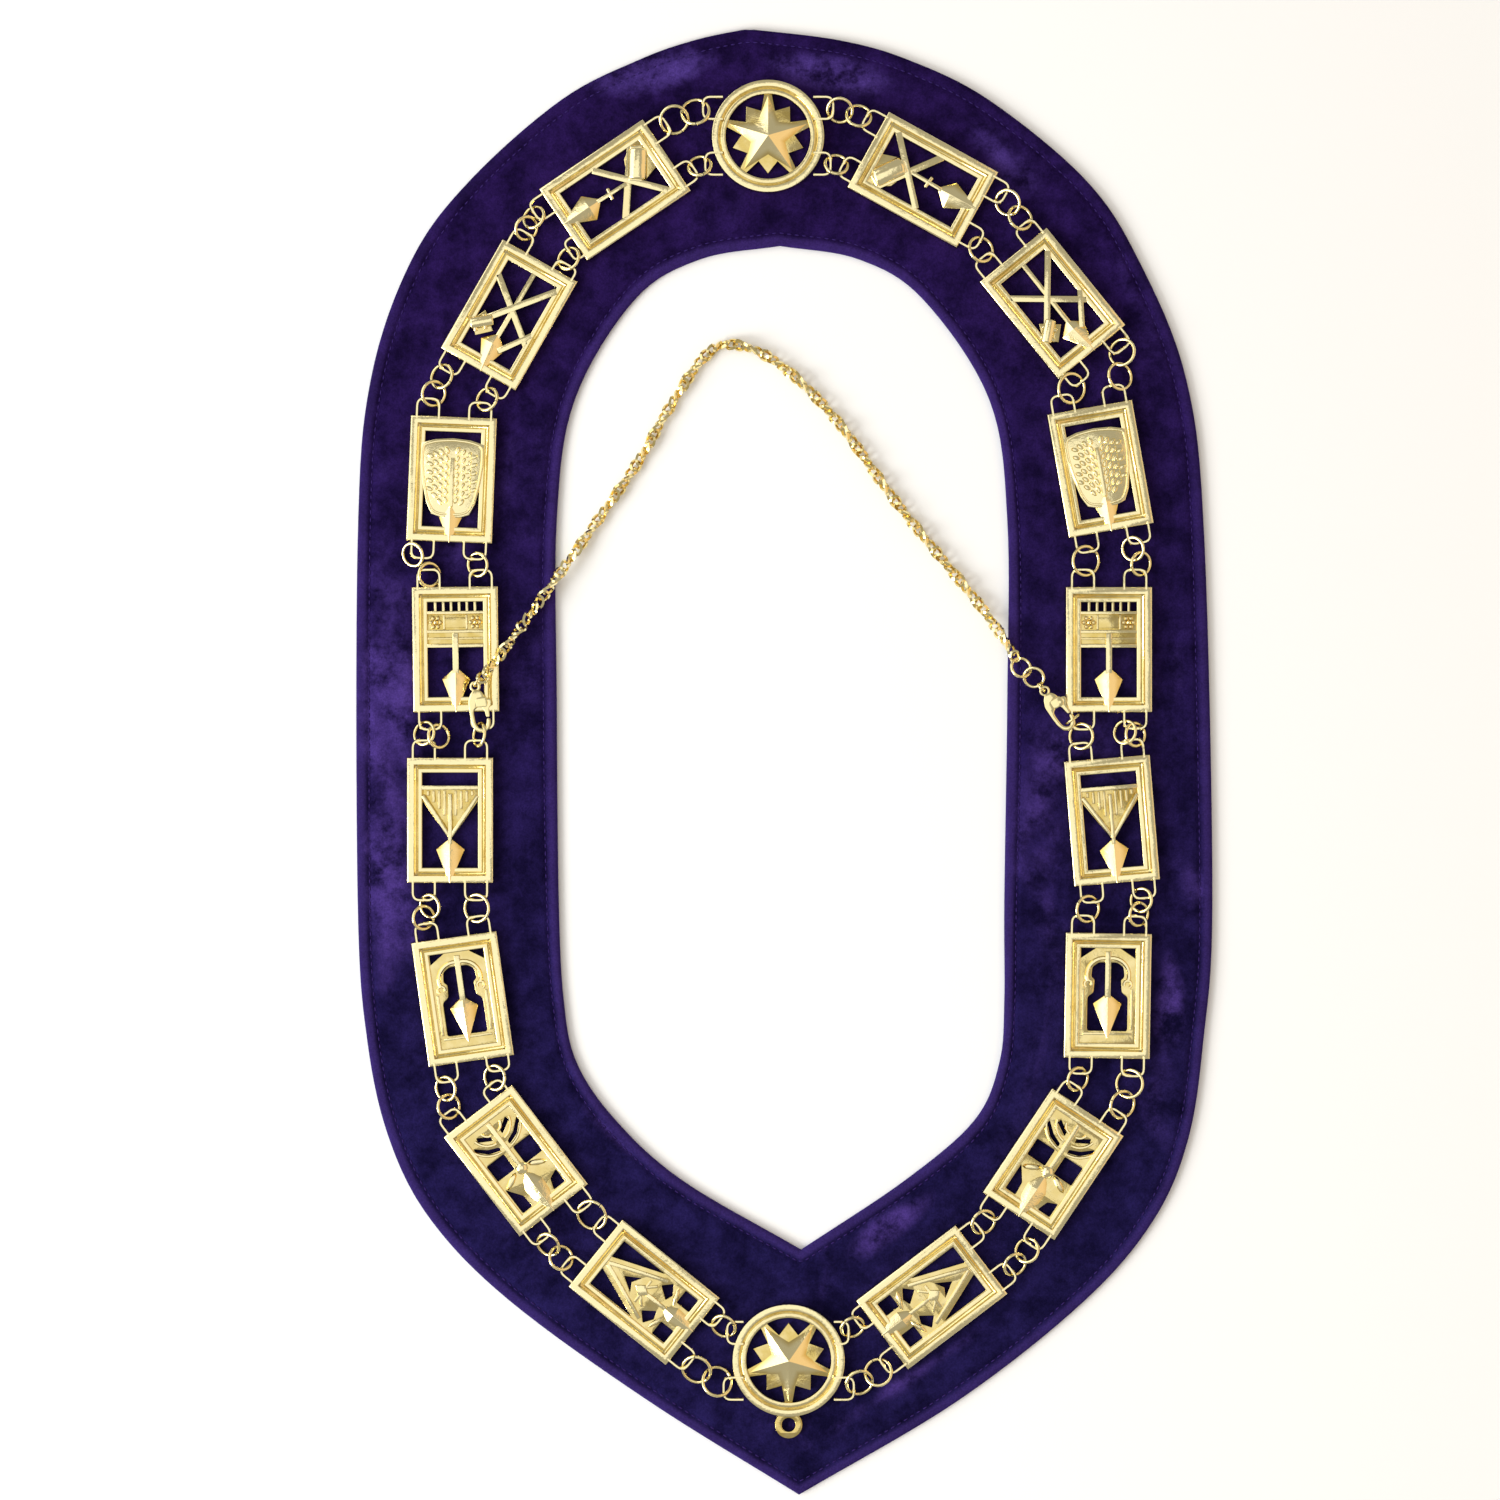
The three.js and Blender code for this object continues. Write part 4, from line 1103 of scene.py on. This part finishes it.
def clasp_hook(linked):
    """The hook with its eye, its two cheeks and the pin through them."""
    half, cheek = CLASP["half_thickness"], CLASP["cheek"]
    part = slab(rounded(HOOK_OUTLINE, 0.7, 2), -half, half, 0.55)
    add(part, clasp_eye())
    for low in (-half, half - cheek):
        add(part, slab(rounded(CHEEK, 0.8, 2), low, low + cheek, 0.2))
    pin = bmesh.new()
    bmesh.ops.create_cone(pin, cap_ends=True, segments=16, radius1=PIN["radius"], radius2=PIN["radius"],
                          depth=PIN["length"])
    add(part, pin, Matrix.Translation((*PIVOT, 0)))
    if linked:
        link = jump_ring(HOOK_LINK["radius"], HOOK_LINK["wire"], 0, 24)
        link.transform(turn_about("X", 90))
        add(part, link, Matrix.Translation(HOOK_LINK["middle"]))
    return part


def clasp_lever():
    """The flat lever that closes the hook. It turns on the pin."""
    half = CLASP["lever_half"]
    return slab(rounded(LEVER_OUTLINE, 0.5, 2), -half, half, 0.18, [round_line(*PIVOT, PIN["lever_hole"])])


def clasp_place(side):
    """The clasp's origin and turn, found from the place of its lever's joint."""
    joint = next(row for row in frame["joints"] if row["name"] == f"lever_{side}_pivot")
    turn = CLASP_TURNS[side]
    offset = turned(*PIVOT, turn)
    return joint["pos_m"][0] / MM - offset.x, joint["pos_m"][1] / MM - offset.y, turn


# Where the safety chain runs: from the left clasp, over the band's edge, across the open neck on
# the table, and up again toward the right clasp.
CHAIN_ROUTE = [
    (-113, 42.6, CLASP_Z + 1.2), (-106, 52.3, 7.2), (-98, 63.4, 5.8), (-88, 77.4, 5.4), (-79, 90.2, 2.9),
    (-57.6, 121, 2.3), (-48.4, 137.4, 2.3), (-32.4, 161.4, 2.3), (-20.4, 167, 2.3), (-2.4, 159.4, 2.3),
    (20, 137.8, 2.3), (46.4, 101.8, 2.3), (76.4, 65, 2.9), (86.6, 50.6, 5.3), (90.6, 44.4, 6.0),
    (92.7, 40.9, 6.3),
]
# The middles of the two larger rings at its right end.
BIG_RINGS = [(94.4, 37.8, 6.7), (99.4, 33.9, 7.1)]


def facing(direction):
    """The turn that takes +X to a direction, with +Z kept as far up as it goes."""
    return direction.to_track_quat("X", "Z").to_matrix().to_4x4()


def chain_link():
    """One oval link in the XY plane, long along X."""
    half = (CHAIN["width"] - CHAIN["wire"]) / 2
    straight = (CHAIN["length"] - CHAIN["width"]) / 2
    line = [(x + straight, y, 0) for x, y in arc(0, 0, half, -90, 90, 5)]
    line += [(x - straight, y, 0) for x, y in arc(0, 0, half, 90, 270, 5)]
    return wire(line, CHAIN["wire"], True, 0)


def add_end_ring(part, eye, toward):
    """The small ring that joins a clasp's eye to the chain."""
    away = (toward - eye).normalized()
    shape = jump_ring(END_RING["radius"], END_RING["wire"], 0, 18)
    shape.transform(turn_about("X", END_RING["tilt"]))
    add(part, shape, Matrix.Scale(MM, 4) @ Matrix.Translation(eye + away * END_RING["radius"]) @ facing(away))


def add_links(part, line):
    """Links evenly along the line, each twisted on from the one before, none under the table."""
    points = evenly(line, round(line_length(line) / CHAIN["pitch"]) + 1)
    for k, (here, there) in enumerate(zip(points, points[1:])):
        twist = CHAIN["twist"] * k + rng.uniform(-CHAIN["sway"], CHAIN["sway"])
        link = chain_link()
        link.transform(turn_about("X", twist) @ turn_about("Y", CHAIN["tilt"]))
        link.transform(Matrix.Translation((here + there) / 2) @ facing((there - here).normalized()))
        lowest = min(vert.co.z for vert in link.verts)
        add(part, link, placed(z=max(0.0, CHAIN["lowest"] - lowest)))


def add_big_rings(part):
    """The two larger rings at the chain's right end, leaning into each other."""
    for (x, y, z), lean in zip(BIG_RINGS, (-1, 1)):
        shape = jump_ring(BIG_RING["radius"], BIG_RING["wire"], BIG_RING["cut"], 24)
        shape.transform(turn_about("X", lean * BIG_RING["tilt"]))
        add(part, shape, placed(x, y, z, BIG_RING["heading"]))


def eye_spot(x, y, turn):
    """The middle of a clasp's eye, from the clasp's place."""
    eye = turned(0, EYE["y"], turn)
    return Vector((x + eye.x, y + eye.y, CLASP_Z))


def safety_chain(places, material):
    """The chain from the left clasp's eye to the right one's, as one piece."""
    left, right = eye_spot(*places["left"]), eye_spot(*places["right"])
    start = left + (Vector(CHAIN_ROUTE[0]) - left).normalized() * CHAIN["start"]
    part = bmesh.new()
    add_links(part, smooth_line([start, *CHAIN_ROUTE], 10))
    add_end_ring(part, left, start)
    add_end_ring(part, right, Vector(BIG_RINGS[-1]))
    add_big_rings(part)
    make_piece("safety_chain_links", part, material, replaces=["safety_chain"], smooth_limit=60)


# ---------------------------------------------------------------- stage
# The camera's view, in millimetres: its middle, its width on the table, and its optics.
VIEW = {"x": -13.6, "y": 5.0, "width": 600.0, "lens": 90.0, "sensor": 36}

# The lights, in metres: name, place, width, height, brightness, colour.
SOFTBOXES = [
    ("overhead softbox", (-0.42, -0.1, 2.2), 1.6, 2.0, 0.70, (0.98, 0.98, 0.97)),
    ("key softbox", (-1.9, -0.9, 1.2), 1.1, 1.1, 11.5, (1.0, 0.99, 0.95)),
    ("long left softbox", (-1.75, 0.4, 1.4), 3.6, 1.7, 1.4, (1.0, 0.98, 0.93)),
    ("warm right wall", (1.7, 0.1, 1.3), 3.0, 1.7, 0.55, (1.0, 0.58, 0.18)),
]
FLOOR_HALF = 4
PAPER_WHITE = (0.94, 0.965, 1.0, 1)
ROOM_LIGHT = {"Color": (1.0, 0.95, 0.86, 1), "Strength": 0.42}


def add_camera():
    """A long lens straight over the collar, far enough off to see VIEW's width."""
    data = bpy.data.cameras.new("camera")
    data.lens = VIEW["lens"]
    data.sensor_width = VIEW["sensor"]
    camera = new_object("camera", data)
    distance = VIEW["width"] * VIEW["lens"] / VIEW["sensor"]
    camera.location = (VIEW["x"] * MM, VIEW["y"] * MM, distance * MM)
    bpy.context.scene.camera = camera


def soft_light(name, place, wide, high, brightness, colour):
    """A softbox that faces the collar and looks the same brightness at any size."""
    data = bpy.data.lights.new(name, "AREA")
    data.shape = "RECTANGLE"
    data.size = wide
    data.size_y = high
    data.energy = brightness * math.pi * wide * high
    data.color = colour
    light = new_object(name, data)
    light.location = place
    light.rotation_euler = (-Vector(place)).to_track_quat("-Z", "Y").to_euler()


def add_floor():
    """A sheet of white paper under the collar."""
    part = bmesh.new()
    bmesh.ops.create_grid(part, x_segments=1, y_segments=1, size=FLOOR_HALF)
    floor = new_object("floor", finished_mesh("floor", part))
    paper, _, shader = new_material("white paper")
    set_inputs(shader, {"Base Color": PAPER_WHITE, "Roughness": 0.8})
    floor.data.materials.append(paper)


def add_studio():
    """The room's even light and the softboxes round the table."""
    world = bpy.data.worlds.new("studio")
    world.use_nodes = True
    set_inputs(world.node_tree.nodes["Background"], ROOM_LIGHT)
    bpy.context.scene.world = world
    for softbox in SOFTBOXES:
        soft_light(*softbox)
    bpy.context.scene.view_settings.view_transform = "Standard"


# ---------------------------------------------------------------- the collar
def add_plate(plate, lugs, material):
    """One plate with its four lugs, in its place round the collar."""
    name, motif, x, y, turn = plate
    part = medallion(name == "medallion_point") if motif == "star" else plaque(motif)
    for root, heading, reach in lugs:
        add(part, lug(root, heading, reach))
    part.transform(placed(x, y, PLATE_Z, turn))
    make_piece(f"gilt_{name}", part, material, replaces=[name])


def add_clasp(side, place, material):
    """One clasp: its hook rides on the collar, and its lever on a body of its own."""
    x, y, turn = place
    hook = clasp_hook(side == "right")
    hook.transform(placed(x, y, CLASP_Z, turn))
    make_piece(f"hook_{side}", hook, material, replaces=[f"clasp_{side}"])
    lever = clasp_lever()
    lever.transform(placed(x, y, CLASP_Z, turn))
    make_piece(f"lever_{side}", lever, material, f"lever_{side}", [f"clasp_lever_{side}"])


add_camera()
add_floor()
add_studio()

casting = cast_group()
# The second colour of each gilt is the painted shade of its low places.
plate_gilt = gilt("gilt plate", casting, bright=(0.97, 0.86, 0.5), shade_tone=(0.7, 0.53, 0.16),
                  foot=5.0, top=6.6, gloss=0.09, bump=0.35)
wire_gilt = gilt("gilt wire", casting, bright=(0.97, 0.85, 0.46), shade_tone=(0.8, 0.62, 0.22),
                 foot=2.0, top=7.0, gloss=0.08, bump=0.12)

outer_edge, inner_edge = velvet_band(velvet_material())
hem_stitches(outer_edge, inner_edge, thread_material())

ring_runs, plate_lugs = find_runs()
for plate_row, lug_rows in zip(PLATES, plate_lugs):
    add_plate(plate_row, lug_rows, plate_gilt)
for ring_row in ring_runs:
    ring_run(ring_row, wire_gilt)

clasp_places = {side: clasp_place(side) for side in CLASP_TURNS}
safety_chain(clasp_places, wire_gilt)
for clasp_side, clasp_spot in clasp_places.items():
    add_clasp(clasp_side, clasp_spot, wire_gilt)
